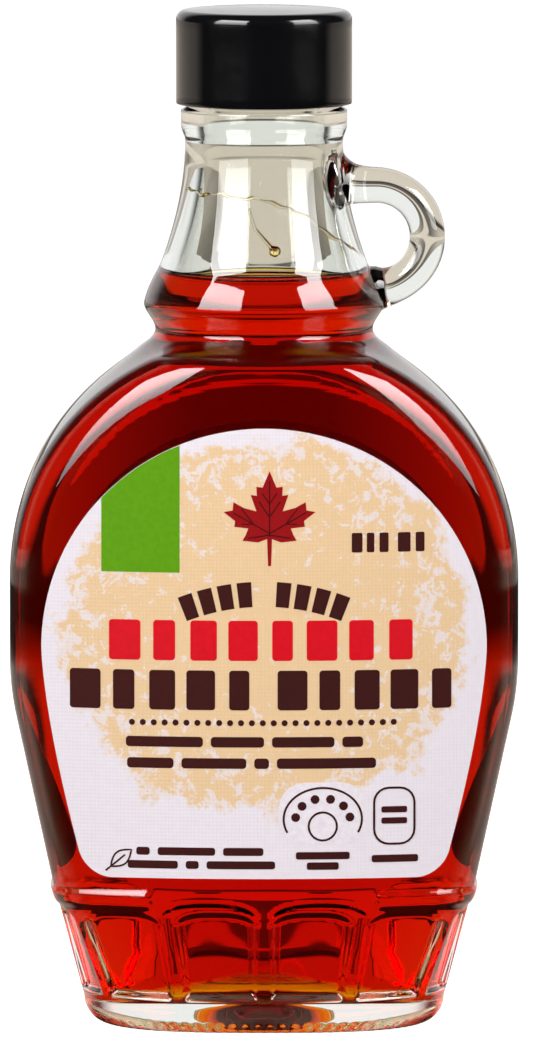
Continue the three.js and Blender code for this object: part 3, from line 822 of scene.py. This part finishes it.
def label_half_width(z, shape):
    """Half-width of a label by height: an arch that narrows towards its foot."""
    radius, middle, foot = shape
    up = z - middle
    arc = np.sqrt(np.maximum(0, radius ** 2 - up * up))
    drop = np.clip(-up / (middle - LABEL_BOTTOM_Z), 0, 1)
    side = mix(radius, foot, drop ** LABEL_SIDE_POWER)
    return np.maximum(np.where(up < 0, side, arc) - round_corner(z), LABEL_TIP_HALF_WIDTH * (up > 0))


def slab_mesh(name, x, z, faces, rim, low, high, facing=-1):
    """A closed slab between two distances from the glass, over flat faces; rim is its outer edges."""
    count = len(x)
    depth = face_depth(x, z)
    inner = np.column_stack([x, facing * (depth + low), z])
    outer = np.column_stack([x, facing * (depth + high), z])
    made = [tuple(f) for f in faces] + [tuple(count + i for i in reversed(f)) for f in faces]
    made += [(b, a, count + a, count + b) for a, b in rim]
    mesh = bpy.data.meshes.new(name)
    mesh.from_pydata((np.concatenate([inner, outer]) * MM).tolist(), [], made)
    mesh.validate()
    return outward(mesh)


def label_mesh(name, shape, facing, thickness):
    """A paper label bent over one face of the body."""
    columns, rows = LABEL_COLUMNS, LABEL_ROWS
    spread = math.pi / LABEL_SPREAD
    across = np.sin(np.linspace(-1, 1, columns + 1) * spread) / math.sin(spread)
    up = np.linspace(0, 1, rows + 1)
    top = shape[0] + shape[1]
    heights = LABEL_BOTTOM_Z + (top - LABEL_BOTTOM_Z) * (1 - np.cos(math.pi * up)) / 2
    x = (label_half_width(heights, shape)[:, None] * across[None, :]).ravel()
    z = np.repeat(heights, columns + 1)
    at = lambda row, column: row * (columns + 1) + column
    faces = [(at(r, c), at(r, c + 1), at(r + 1, c + 1), at(r + 1, c))
             for r in range(rows) for c in range(columns)]
    rim = [at(0, c) for c in range(columns)] + [at(r, columns) for r in range(rows)]
    rim += [at(rows, c) for c in range(columns, 0, -1)] + [at(r, 0) for r in range(rows, 0, -1)]
    rim = list(zip(rim, rim[1:] + rim[:1]))
    return slab_mesh(name, x, z, faces, rim, LABEL_GAP, LABEL_GAP + thickness, facing)


def ink_mesh(name, polygons, low, high):
    """A thin closed slab of ink over polygons of [x, z] points, in steps that follow the face."""
    work = bmesh.new()
    for polygon in polygons:
        work.faces.new([work.verts.new((x, 0, z)) for x, z in polygon])
    bmesh.ops.remove_doubles(work, verts=work.verts, dist=1e-4)
    bmesh.ops.triangulate(work, faces=work.faces)
    points = np.array([vert.co for vert in work.verts])
    for axis in (0, 2):
        normal = [0.0, 0.0, 0.0]
        normal[axis] = 1.0
        for cut in np.arange(points[:, axis].min() + INK_STEP / 2, points[:, axis].max(), INK_STEP):
            place = [cut * part for part in normal]
            bmesh.ops.bisect_plane(work, geom=work.verts[:] + work.edges[:] + work.faces[:], dist=1e-4,
                                   plane_co=place, plane_no=normal)
    bmesh.ops.triangulate(work, faces=work.faces)
    work.verts.index_update()
    x = np.array([vert.co.x for vert in work.verts])
    z = np.array([vert.co.z for vert in work.verts])
    faces = [[vert.index for vert in face.verts] for face in work.faces]
    rim = [[vert.index for vert in edge.verts] for edge in work.edges if len(edge.link_faces) == 1]
    work.free()
    return slab_mesh(name, x, z, faces, rim, low, high)


def rounded_box(left, right, low, high, corner):
    """Outline of an upright box with rounded corners."""
    points = []
    for x, z, start in ((right - corner, low + corner, -90), (right - corner, high - corner, 0),
                        (left + corner, high - corner, 90), (left + corner, low + corner, 180)):
        for turn in np.radians(np.linspace(start, start + 90, 6)):
            points.append((x + corner * math.cos(turn), z + corner * math.sin(turn)))
    return points


def disc(x, z, radius, steps=28):
    return [(x + radius * math.cos(t), z + radius * math.sin(t)) for t in 2 * math.pi * even(steps)]


def stroke(path, width, closed=False):
    """Quads of a line of one width along a path of [x, z] points."""
    path = np.array(path)
    ahead, behind = np.roll(path, -1, axis=0), np.roll(path, 1, axis=0)
    if not closed:
        ahead[-1], behind[0] = path[-1], path[0]
    side = ahead - behind
    side = np.column_stack([-side[:, 1], side[:, 0]]) / np.linalg.norm(side, axis=1)[:, None]
    left, right = (path + side * width / 2).tolist(), (path - side * width / 2).tolist()
    last = len(path) if closed else len(path) - 1
    after = [(i + 1) % len(path) for i in range(last)]
    return [(right[i], right[n], left[n], left[i]) for i, n in enumerate(after)]


def brick_row(start, count, low, height, pitch):
    """A row of upright bricks of varied width on an even pitch."""
    bricks = []
    for i in range(count):
        middle, swing, beat = BRICK_WIDTHS
        width = pitch * (middle + swing * math.cos(beat * i))
        left = start + i * pitch + (pitch - width) / 2
        bricks.append(rounded_box(left, left + width, low, low + height, height / 12))
    return bricks


def corner_box():
    """The box in the label's upper left corner, cut by the label's arch."""
    left, right, low, high = CORNER_BOX
    radius, middle, _ = FRONT_SHAPE
    radius -= PRINT_MARGIN
    turns = np.linspace(math.acos(right / radius), math.acos(left / radius), 16)
    arch = [(radius * math.cos(t), min(high, middle + radius * math.sin(t))) for t in turns]
    return [[(left, low), (right, low)] + arch]


def leaf_outline(middle, size):
    """A five-lobed leaf: the right half's lobes and notches, and the same mirrored."""
    half = [(0.018, -0.60), (0.03, -0.27), (0.14, -0.31), (0.33, -0.29), (0.29, -0.22), (0.26, -0.14),
            (0.43, -0.12), (0.42, -0.05), (0.56, 0.06), (0.45, 0.08), (0.44, 0.18), (0.31, 0.11),
            (0.16, 0.07), (0.23, 0.27), (0.155, 0.26), (0.16, 0.37), (0.085, 0.36), (0.0, 0.56)]
    mirrored = [(-x, z) for x, z in reversed(half[:-1])]
    return [(middle[0] + size * x, middle[1] + size * z) for x, z in half + mirrored]


def leaf_veins(middle, size):
    """Veins of the leaf: one up the middle, two to the side lobes and two to the lowest lobes, with twigs."""
    ends = [((0, -0.24), (0, 0.44)), ((0, -0.2), (0.44, 0.05)), ((0, -0.22), (0.26, -0.26)),
            ((0, 0.0), (0.13, 0.19)), ((0, 0.16), (0.09, 0.29)), ((0.2, -0.085), (0.34, -0.09)),
            ((0.2, -0.085), (0.34, 0.1))]
    ends += [tuple((-x, z) for x, z in line) for line in ends[1:]]
    lines = [[(middle[0] + size * x, middle[1] + size * z) for x, z in line] for line in ends]
    return [quad for line in lines for quad in stroke(line, size * 0.016)]


def arched_row():
    """Bricks on an arch over the rows, in two groups."""
    middle = ARCHED_TOP_Z - ARCHED_RADIUS
    pitch = 2 * ARCHED_HALF_TURN / ARCHED_BRICKS
    bricks = []
    for i in range(ARCHED_BRICKS):
        if i == ARCHED_GAP:
            continue
        start, end = (-ARCHED_HALF_TURN + (i + share) * pitch for share in (ARCHED_MARGIN, 1 - ARCHED_MARGIN))
        turns = np.radians(np.linspace(start, end, 4))
        inner, outer = ([(radius * math.sin(t), middle + radius * math.cos(t)) for t in turns]
                        for radius in (ARCHED_RADIUS - ARCHED_HEIGHT, ARCHED_RADIUS))
        bricks.append(inner + outer[::-1])
    return bricks


def bar_lines(lines, height):
    """Rounded bars in lines; each line is its start, its lower edge and the lengths of its bars."""
    bars = []
    for start, low, lengths in lines:
        for length in lengths:
            bars.append(rounded_box(start, start + length, low, low + height, height / 3))
            start += length + BAR_GAP
    return bars


def badge_shapes():
    """A half-round dial with rays and a disc, a pill outline, small bars and a sprig's leaf outline."""
    x, z, radius = BADGE
    arch = [(x + radius * math.cos(t), z + radius * 0.8 * math.sin(t))
            for t in np.linspace(-0.45, math.pi + 0.45, 40)]
    shapes = stroke(arch, BADGE_RING)
    shapes += stroke(disc(x, z - 1.2, radius * 0.36), BADGE_RING, closed=True)
    for turn in np.radians(np.linspace(8, 172, 6)):
        ray = (math.cos(turn), 0.8 * math.sin(turn))
        shapes.append(disc(x + ray[0] * radius * 0.7, z - 0.2 + ray[1] * radius * 0.7, 0.75, 10))
    shapes += stroke(rounded_box(*PILL, 2.4), BADGE_RING, closed=True)
    left, right, low, high = PILL
    for up in (0.36, 0.56):
        bar = mix(low, high, up)
        shapes.append(rounded_box(left + 1.2, right - 1.2, bar, bar + 1.0, 0.3))
    shapes += [rounded_box(a, b, low, low + 1.2, 0.35) for a, b, low in SMALL_BARS]
    x, z, size = SPRIG
    turns = np.linspace(0, 1, 13)
    lean = math.radians(40)
    blade = [(size * (t - 0.5), size * 0.26 * math.sin(math.pi * t)) for t in turns]
    blade += [(size * (t - 0.5), -size * 0.26 * math.sin(math.pi * t)) for t in turns[-2:0:-1]]
    rib = [(-size * 0.75, 0), (size * 0.2, 0)]
    for line, closed in ((blade, True), (rib, False)):
        turned = [(x + a * math.cos(lean) - b * math.sin(lean), z + a * math.sin(lean) + b * math.cos(lean))
                  for a, b in line]
        shapes += stroke(turned, 0.28, closed)
    return shapes


def bubble_mesh(fill):
    """Small bubbles afloat along the wall, closer together towards one side; drawn from a fixed seed."""
    draw = np.random.default_rng(7)
    work = bmesh.new()
    for i in range(BUBBLES):
        turn = mix(*BUBBLE_TURN, draw.random() ** 0.6)
        size = mix(0.25, 0.75, draw.random() ** 2)
        x, y, _ = on_wall(turn, fill + 1, size * 0.8 + draw.random() * 1.5)
        shift = Vector((x, y, fill + size * 0.55 + draw.random() * 0.4))
        made = bmesh.ops.create_icosphere(work, subdivisions=3, radius=size)
        bmesh.ops.translate(work, verts=made["verts"], vec=shift)
    bmesh.ops.scale(work, verts=work.verts, vec=(MM, MM, MM))
    mesh = bpy.data.meshes.new("bubbles")
    work.to_mesh(mesh)
    work.free()
    return mesh


def tube_mesh(name, path, radii, sides=12):
    """A closed round tube along points, with a radius for each."""
    path = np.array(path)
    tangent = np.gradient(path, axis=0)
    tangent /= np.linalg.norm(tangent, axis=1)[:, None]
    side = np.cross(tangent, (0, 0, 1))
    side /= np.linalg.norm(side, axis=1)[:, None]
    up = np.cross(side, tangent)
    angle = 2 * math.pi * even(sides)
    rings = [place + radius * (np.cos(angle)[:, None] * a + np.sin(angle)[:, None] * b)
             for place, radius, a, b in zip(path, radii, side, up)]
    return outward(skin_mesh(name, rings, tuple(path[0]), tuple(path[-1])))


def on_wall(turn, z, proud=0.0):
    """A place on the neck's inner wall, or proud of it; turn is in degrees from the front."""
    radius = inner_reach(z, WALL)[0] - proud
    return (radius * math.sin(math.radians(turn)), -radius * math.cos(math.radians(turn)), z)


def wall_path(marks, steps):
    """Turns and heights along a smooth line through marks on the wall."""
    turns = np.linspace(marks[0][0], marks[-1][0], steps)
    heights = np.interp(turns, *zip(*marks))
    for _ in range(6):
        heights[1:-1] = (heights[:-2] + heights[1:-1] * 2 + heights[2:]) / 4
    return list(zip(turns, heights))


def lathe_mesh(name, profile, columns):
    """A closed turned form from [radius, height] points; the first and last lie on the axis."""
    turn = 2 * math.pi * even(columns)
    rings = [np.column_stack([r * np.sin(turn), -r * np.cos(turn), np.full(columns, z)])
             for r, z in profile[1:-1]]
    return skin_mesh(name, rings, (0, 0, profile[0][1]), (0, 0, profile[-1][1]))


# Operators


class FLASK_OT_glass(bpy.types.Operator):
    """Build the glass flask with its finger ring"""
    bl_idname = "flask.glass"
    bl_label = "Glass flask"

    def execute(self, context):
        colours = context.scene.flask_colours
        body = outward(glass_mesh(context.scene.flask_sizes.fill))
        made = piece("glass_flask", body, "glass_bottle")
        body.materials[0], body.materials[1] = glass_material(colours), glass_material(colours, wet=True)
        ring = bpy.data.objects.new("ring_cutter", outward(ring_mesh()))
        context.scene.collection.objects.link(ring)
        join = made.modifiers.new("ring", "BOOLEAN")
        join.operation = "UNION"
        join.solver = "MANIFOLD"
        join.object = ring
        depsgraph = context.evaluated_depsgraph_get()
        joined = bpy.data.meshes.new_from_object(made.evaluated_get(depsgraph), depsgraph=depsgraph)
        made.modifiers.clear()
        made.data = joined
        bpy.data.objects.remove(ring)
        if len(joined.polygons) < COLUMNS * 10:
            raise RuntimeError("the glass and its ring did not join")
        joined.shade_smooth()
        return {"FINISHED"}


class FLASK_OT_syrup(bpy.types.Operator):
    """Fill the flask with syrup up to its level"""
    bl_idname = "flask.syrup"
    bl_label = "Syrup"

    def execute(self, context):
        sizes = context.scene.flask_sizes
        turns = even(HOLLOW_COLUMNS)
        wall = WALL - sizes.overlap / MM
        fill, climb = sizes.fill / MM, sizes.meniscus / MM
        heights = [*np.arange(INNER_START_Z, fill + climb - 0.4, 1.2), fill + climb]
        rings = inner_rings(turns, wall, heights)
        section = inner_reach(fill, wall)
        for back in MENISCUS_STEPS:
            z = fill + climb * math.exp(-back / MENISCUS_FALL)
            rings.append(level(outline(section - back, turns), z))
        mesh = outward(skin_mesh("syrup_fill", rings, (0, 0, rings[0][0][2]), (0, 0, fill)))
        piece("syrup_fill", mesh, "syrup", [syrup_material(context.scene.flask_colours)])
        return {"FINISHED"}


class FLASK_OT_cap(bpy.types.Operator):
    """Build the screw cap"""
    bl_idname = "flask.cap"
    bl_label = "Cap"

    def execute(self, context):
        ceiling = CAP_TOP_Z - CAP_TOP_WALL
        inner = CAP_RADIUS - CAP_WALL
        points = [(0, ceiling), (inner * 0.5, ceiling), (inner - 0.5, ceiling), (inner, ceiling - 0.5)]
        points += [(inner, z) for z in np.linspace(ceiling - 2, CAP_BOTTOM_Z + 0.3, 6)]
        points += [(inner + 0.2, CAP_BOTTOM_Z), (CAP_RADIUS - 0.3, CAP_BOTTOM_Z),
                   (CAP_RADIUS - 0.08, CAP_BOTTOM_Z + 0.1)]
        skirt = np.linspace(CAP_BOTTOM_Z + 0.4, CAP_TOP_Z - CAP_CROWN - CAP_EDGE, 12)
        points += [(CAP_RADIUS, z) for z in skirt]
        for turn in np.radians(np.linspace(7, 90, 12)):
            points.append((CAP_RADIUS - CAP_EDGE * (1 - math.cos(turn)),
                           CAP_TOP_Z - CAP_CROWN - CAP_EDGE * (1 - math.sin(turn))))
        edge = CAP_RADIUS - CAP_EDGE
        for share in (0.85, 0.65, 0.45, 0.25, 0.1):
            points.append((edge * share, CAP_TOP_Z - CAP_CROWN * share ** 2))
        points.append((0, CAP_TOP_Z))
        mesh = outward(lathe_mesh("screw_cap", points, CAP_COLUMNS))
        piece("screw_cap", mesh, "cap", [cap_material(context.scene.flask_colours)])
        return {"FINISHED"}


class FLASK_OT_labels(bpy.types.Operator):
    """Wrap the paper labels over the front and back of the flask"""
    bl_idname = "flask.labels"
    bl_label = "Labels"

    def execute(self, context):
        sizes, colours = context.scene.flask_sizes, context.scene.flask_colours
        for name, node, shape, facing in (("front_paper", "front_label", FRONT_SHAPE, -1),
                                          ("back_paper", "back_label", BACK_SHAPE, 1)):
            mesh = label_mesh(name, shape, facing, sizes.paper / MM)
            piece(name, mesh, node, [paper_material(colours, facing < 0)], crisp=True)
        return {"FINISHED"}


class FLASK_OT_print(bpy.types.Operator):
    """Print the front label's fields, rows, leaf and small marks"""
    bl_idname = "flask.print"
    bl_label = "Print"

    def execute(self, context):
        sizes, colours = context.scene.flask_sizes, context.scene.flask_colours
        dots = [disc(x, DOT_ROW[2], DOT_RADIUS, 16) for x in np.linspace(DOT_ROW[0], DOT_ROW[1], DOT_COUNT)]
        brown = [brick for row in (*BROWN_ROWS, *SHORT_ROWS) for brick in brick_row(*row)]
        brown += arched_row() + dots
        brown += bar_lines(UPPER_BARS, BAR_HEIGHT) + bar_lines(LOWER_BARS, LOWER_BAR_HEIGHT)
        half, low, high, corner = BADGE_FIELD
        badge_field = [rounded_box(BADGE[0] - half, BADGE[0] + half, low, high, corner)]
        layers = (
            ("corner_box", corner_box(), "offset_ink_green", colours.green, 0),
            ("badge_field", badge_field, "offset_ink_white", colours.paper, 0),
            ("printed_leaf", [leaf_outline(LEAF_MIDDLE, LEAF_SIZE)], "offset_ink_leaf_red", colours.leaf, 0),
            ("leaf_veins", leaf_veins(LEAF_MIDDLE, LEAF_SIZE), "offset_ink_vein",
             darker(colours.leaf, VEIN_SHARE), 1),
            ("red_row", brick_row(*RED_ROW), "offset_ink_red", colours.red, 0),
            ("brown_rows", brown, "offset_ink_brown", colours.brown, 0),
            ("small_marks", badge_shapes(), "offset_ink_dark_brown", colours.brown, 1),
        )
        paper = LABEL_GAP + sizes.paper / MM
        ink = sizes.ink / MM
        for name, shapes, finish, colour, layer in layers:
            mesh = ink_mesh(name, shapes, paper - ink / 2, paper + ink * (layer + 1))
            piece(name, mesh, materials=[ink_material(finish, colour)], crisp=True)
        return {"FINISHED"}


class FLASK_OT_film(bpy.types.Operator):
    """Leave a tide line, a run with its drop and a few bubbles of syrup in the neck"""
    bl_idname = "flask.film"
    bl_label = "Film"

    def execute(self, context):
        sizes, colours = context.scene.flask_sizes, context.scene.flask_colours
        thin = thin_syrup_material(colours)
        path, step = wall_path(TIDE_Z, TIDE_STEPS), np.arange(TIDE_STEPS)
        wander = 0.25 * np.sin(step * 0.19) + 0.15 * np.sin(step * 0.47)
        radii = TIDE_RADIUS * (1 + 0.35 * np.sin(step * 0.31))
        radii = radii * np.minimum(1, np.arange(TIDE_STEPS, 0, -1) / 12)
        points = [on_wall(turn, z + w, r * 0.35) for (turn, z), w, r in zip(path, wander, radii)]
        piece("tide_line", tube_mesh("tide_line", points, radii), materials=[thin])
        path, along = wall_path(RUN_Z, RUN_STEPS), np.linspace(0, 1, RUN_STEPS)
        drop = (DROP_RADIUS - RUN_RADIUS) * np.sin(math.pi * rise(0.8, 1, along) * 0.82)
        radii = RUN_RADIUS * (0.6 + 0.4 * along) + drop
        radii[0] = radii[-1] = RUN_RADIUS / 3
        points = [on_wall(turn, z, r * 0.3) for (turn, z), r in zip(path, radii)]
        piece("syrup_run", tube_mesh("syrup_run", points, radii, 20), materials=[thin])
        bubbles = bubble_mesh(sizes.fill / MM)
        piece("bubbles", bubbles, materials=[thin])
        return {"FINISHED"}


def board_material():
    """Matt white board as the camera sees it. All other rays, such as those through the glass, meet a toned
    table instead: bands of light and dark round the flask, brighter behind it and far to its sides."""
    made, tree = material("matt_white_board")
    board = add(tree, "ShaderNodeBsdfPrincipled", {
        "Base Color": (0.9, 0.9, 0.9, 1), "Roughness": 0.7, "Emission Strength": 0.85,
        "Emission Color": (1, 1, 1, 1)})
    place = add(tree, "ShaderNodeTexCoord")
    away = add(tree, "ShaderNodeVectorMath", {"operation": "LENGTH"}, {0: place.outputs["Object"]})
    reach = add(tree, "ShaderNodeMapRange", {"From Max": TABLE_REACH[-1]}, {"Value": away.outputs["Value"]})
    bands = add(tree, "ShaderNodeValToRGB", links={"Fac": reach.outputs["Result"]})
    marks = bands.color_ramp.elements
    for stop, tone in zip(TABLE_REACH, TABLE_BANDS):
        share = stop / TABLE_REACH[-1]
        mark = marks.new(share) if 0 < share < 1 else marks[-1 if share else 0]
        mark.color = (tone, tone, tone, 1)
    heading = add(tree, "ShaderNodeVectorMath", {"operation": "NORMALIZE"}, {0: place.outputs["Object"]})
    parts = add(tree, "ShaderNodeSeparateXYZ", links={"Vector": heading.outputs["Vector"]})
    behind = add(tree, "ShaderNodeMapRange", {
        "From Min": TABLE_TURN[0], "From Max": TABLE_TURN[1], "To Min": ROOM_FRONT, "To Max": 1.0},
        {"Value": parts.outputs["Y"]})
    across = add(tree, "ShaderNodeMath", {"operation": "ABSOLUTE"}, {0: parts.outputs["X"]})
    aside = add(tree, "ShaderNodeMapRange", {
        "From Min": TABLE_SIDE_TURN[0], "From Max": TABLE_SIDE_TURN[1], "To Min": TABLE_SIDE_TONE[0],
        "To Max": TABLE_SIDE_TONE[1]}, {"Value": across.outputs["Value"]})
    beyond = add(tree, "ShaderNodeMapRange", {
        "From Min": TABLE_SIDE_REACH[0], "From Max": TABLE_SIDE_REACH[1]}, {"Value": away.outputs["Value"]})
    side = add(tree, "ShaderNodeMath", {"operation": "MULTIPLY"},
               {0: aside.outputs["Result"], 1: beyond.outputs["Result"]})
    tone = add(tree, "ShaderNodeMath", {"operation": "MAXIMUM"},
               {0: bands.outputs["Color"], 1: side.outputs["Value"]})
    lit = add(tree, "ShaderNodeMath", {"operation": "MULTIPLY"},
              {0: tone.outputs["Value"], 1: behind.outputs["Result"]})
    table = add(tree, "ShaderNodeEmission", {"Color": TABLE_TONE}, {"Strength": lit.outputs["Value"]})
    path = add(tree, "ShaderNodeLightPath")
    both = add(tree, "ShaderNodeMixShader", links={
        0: path.outputs["Is Camera Ray"], 1: table.outputs["Emission"], 2: board.outputs["BSDF"]})
    add(tree, "ShaderNodeOutputMaterial", links={"Surface": both.outputs["Shader"]})
    return made


def aim(made, direction):
    """Turns a camera, a light or a glowing face to look along a direction."""
    made.rotation_mode = "QUATERNION"
    made.rotation_quaternion = direction.to_track_quat("-Z", "Y")


def soft_box(scene, name, start, end, low, high):
    """A soft box: an area light for matt surfaces, and a glowing face that only gloss and glass see."""
    turn = math.radians((start + end) / 2)
    width = 2 * BOX_DISTANCE * math.tan(math.radians(end - start) / 2)
    bottom, top = (BOX_Z + BOX_DISTANCE * math.tan(math.radians(a)) for a in (low, high))
    data = bpy.data.lights.new(name, "AREA")
    data.shape, data.size, data.size_y = "RECTANGLE", width, top - bottom
    data.energy = BOX_RADIANCE * math.pi * width * (top - bottom)
    light = bpy.data.objects.new(name, data)
    scene.collection.objects.link(light)
    away = Vector((math.sin(turn), -math.cos(turn), 0))
    light.location = away * BOX_DISTANCE + Vector((0, 0, (bottom + top) / 2))
    aim(light, -away)
    light.visible_camera = False
    light.visible_glossy = False
    light.visible_transmission = False
    glow = bpy.data.meshes.new(name + "_face")
    half, tall = width / 2, (top - bottom) / 2
    glow.from_pydata([(-half, -tall, 0), (half, -tall, 0), (half, tall, 0), (-half, tall, 0)], [],
                     [(0, 1, 2, 3)])
    glow.materials.append(soft_box_material(tall))
    face = bpy.data.objects.new(name + "_face", glow)
    scene.collection.objects.link(face)
    face.location = light.location
    aim(face, -away)
    face.visible_camera = False
    face.visible_diffuse = False
    face.visible_shadow = False


class FLASK_OT_studio(bpy.types.Operator):
    """Set up the camera, floor and studio lights"""
    bl_idname = "flask.studio"
    bl_label = "Studio"

    def execute(self, context):
        scene = context.scene
        camera = bpy.data.objects.new("studio_camera", bpy.data.cameras.new("studio_camera"))
        scene.collection.objects.link(camera)
        elevation = math.radians(CAMERA_ELEVATION)
        back = Vector((0, -math.cos(elevation), math.sin(elevation)))
        camera.location = Vector(CAMERA_TARGET) + back * CAMERA_DISTANCE
        aim(camera, -back)
        camera.data.sensor_width = CAMERA_SENSOR
        camera.data.lens = CAMERA_SENSOR * CAMERA_DISTANCE / PICTURE_WIDTH
        camera.data.clip_start, camera.data.clip_end = 0.1, 100
        scene.camera = camera

        floor = bpy.data.meshes.new("floor")
        turn = 2 * math.pi * even(FLOOR_SIDES)
        floor.from_pydata([(FLOOR_REACH * math.cos(t), FLOOR_REACH * math.sin(t), 0) for t in turn], [],
                          [tuple(range(FLOOR_SIDES))])
        stand = bpy.data.objects.new("floor", floor)
        scene.collection.objects.link(stand)
        floor.materials.append(board_material())

        world = bpy.data.worlds.new("studio")
        scene.world = world
        world.use_nodes = True
        studio_world(world.node_tree)
        for box in SOFT_BOXES:
            soft_box(scene, *box)
        scene.view_settings.view_transform = "Standard"
        scene.cycles.max_bounces = 24
        scene.cycles.transmission_bounces = 20
        scene.cycles.transparent_max_bounces = 16
        return {"FINISHED"}


class FLASK_PT_panel(bpy.types.Panel):
    """Sizes, colours and pieces of the flask"""
    bl_label = "Syrup flask"
    bl_idname = "FLASK_PT_panel"
    bl_space_type = "VIEW_3D"
    bl_region_type = "UI"
    bl_category = "Flask"

    def draw(self, context):
        column = self.layout.column()
        for group in (context.scene.flask_sizes, context.scene.flask_colours):
            for name in group.bl_rna.properties.keys():
                if name not in {"rna_type", "name"}:
                    column.prop(group, name)
        for operator in OPERATORS:
            column.operator(operator.bl_idname)


OPERATORS = (FLASK_OT_glass, FLASK_OT_syrup, FLASK_OT_cap, FLASK_OT_labels, FLASK_OT_print, FLASK_OT_film,
             FLASK_OT_studio)
CLASSES = (FlaskSizes, FlaskColours, *OPERATORS, FLASK_PT_panel)


def register():
    for made in CLASSES:
        bpy.utils.register_class(made)
    bpy.types.Scene.flask_sizes = PointerProperty(type=FlaskSizes)
    bpy.types.Scene.flask_colours = PointerProperty(type=FlaskColours)


def unregister():
    del bpy.types.Scene.flask_colours
    del bpy.types.Scene.flask_sizes
    for made in reversed(CLASSES):
        bpy.utils.unregister_class(made)


def main():
    register()
    bpy.ops.flask.studio()
    bpy.ops.flask.glass()
    bpy.ops.flask.syrup()
    bpy.ops.flask.cap()
    bpy.ops.flask.labels()
    bpy.ops.flask.print()
    bpy.ops.flask.film()


if __name__ == "__main__":
    main()
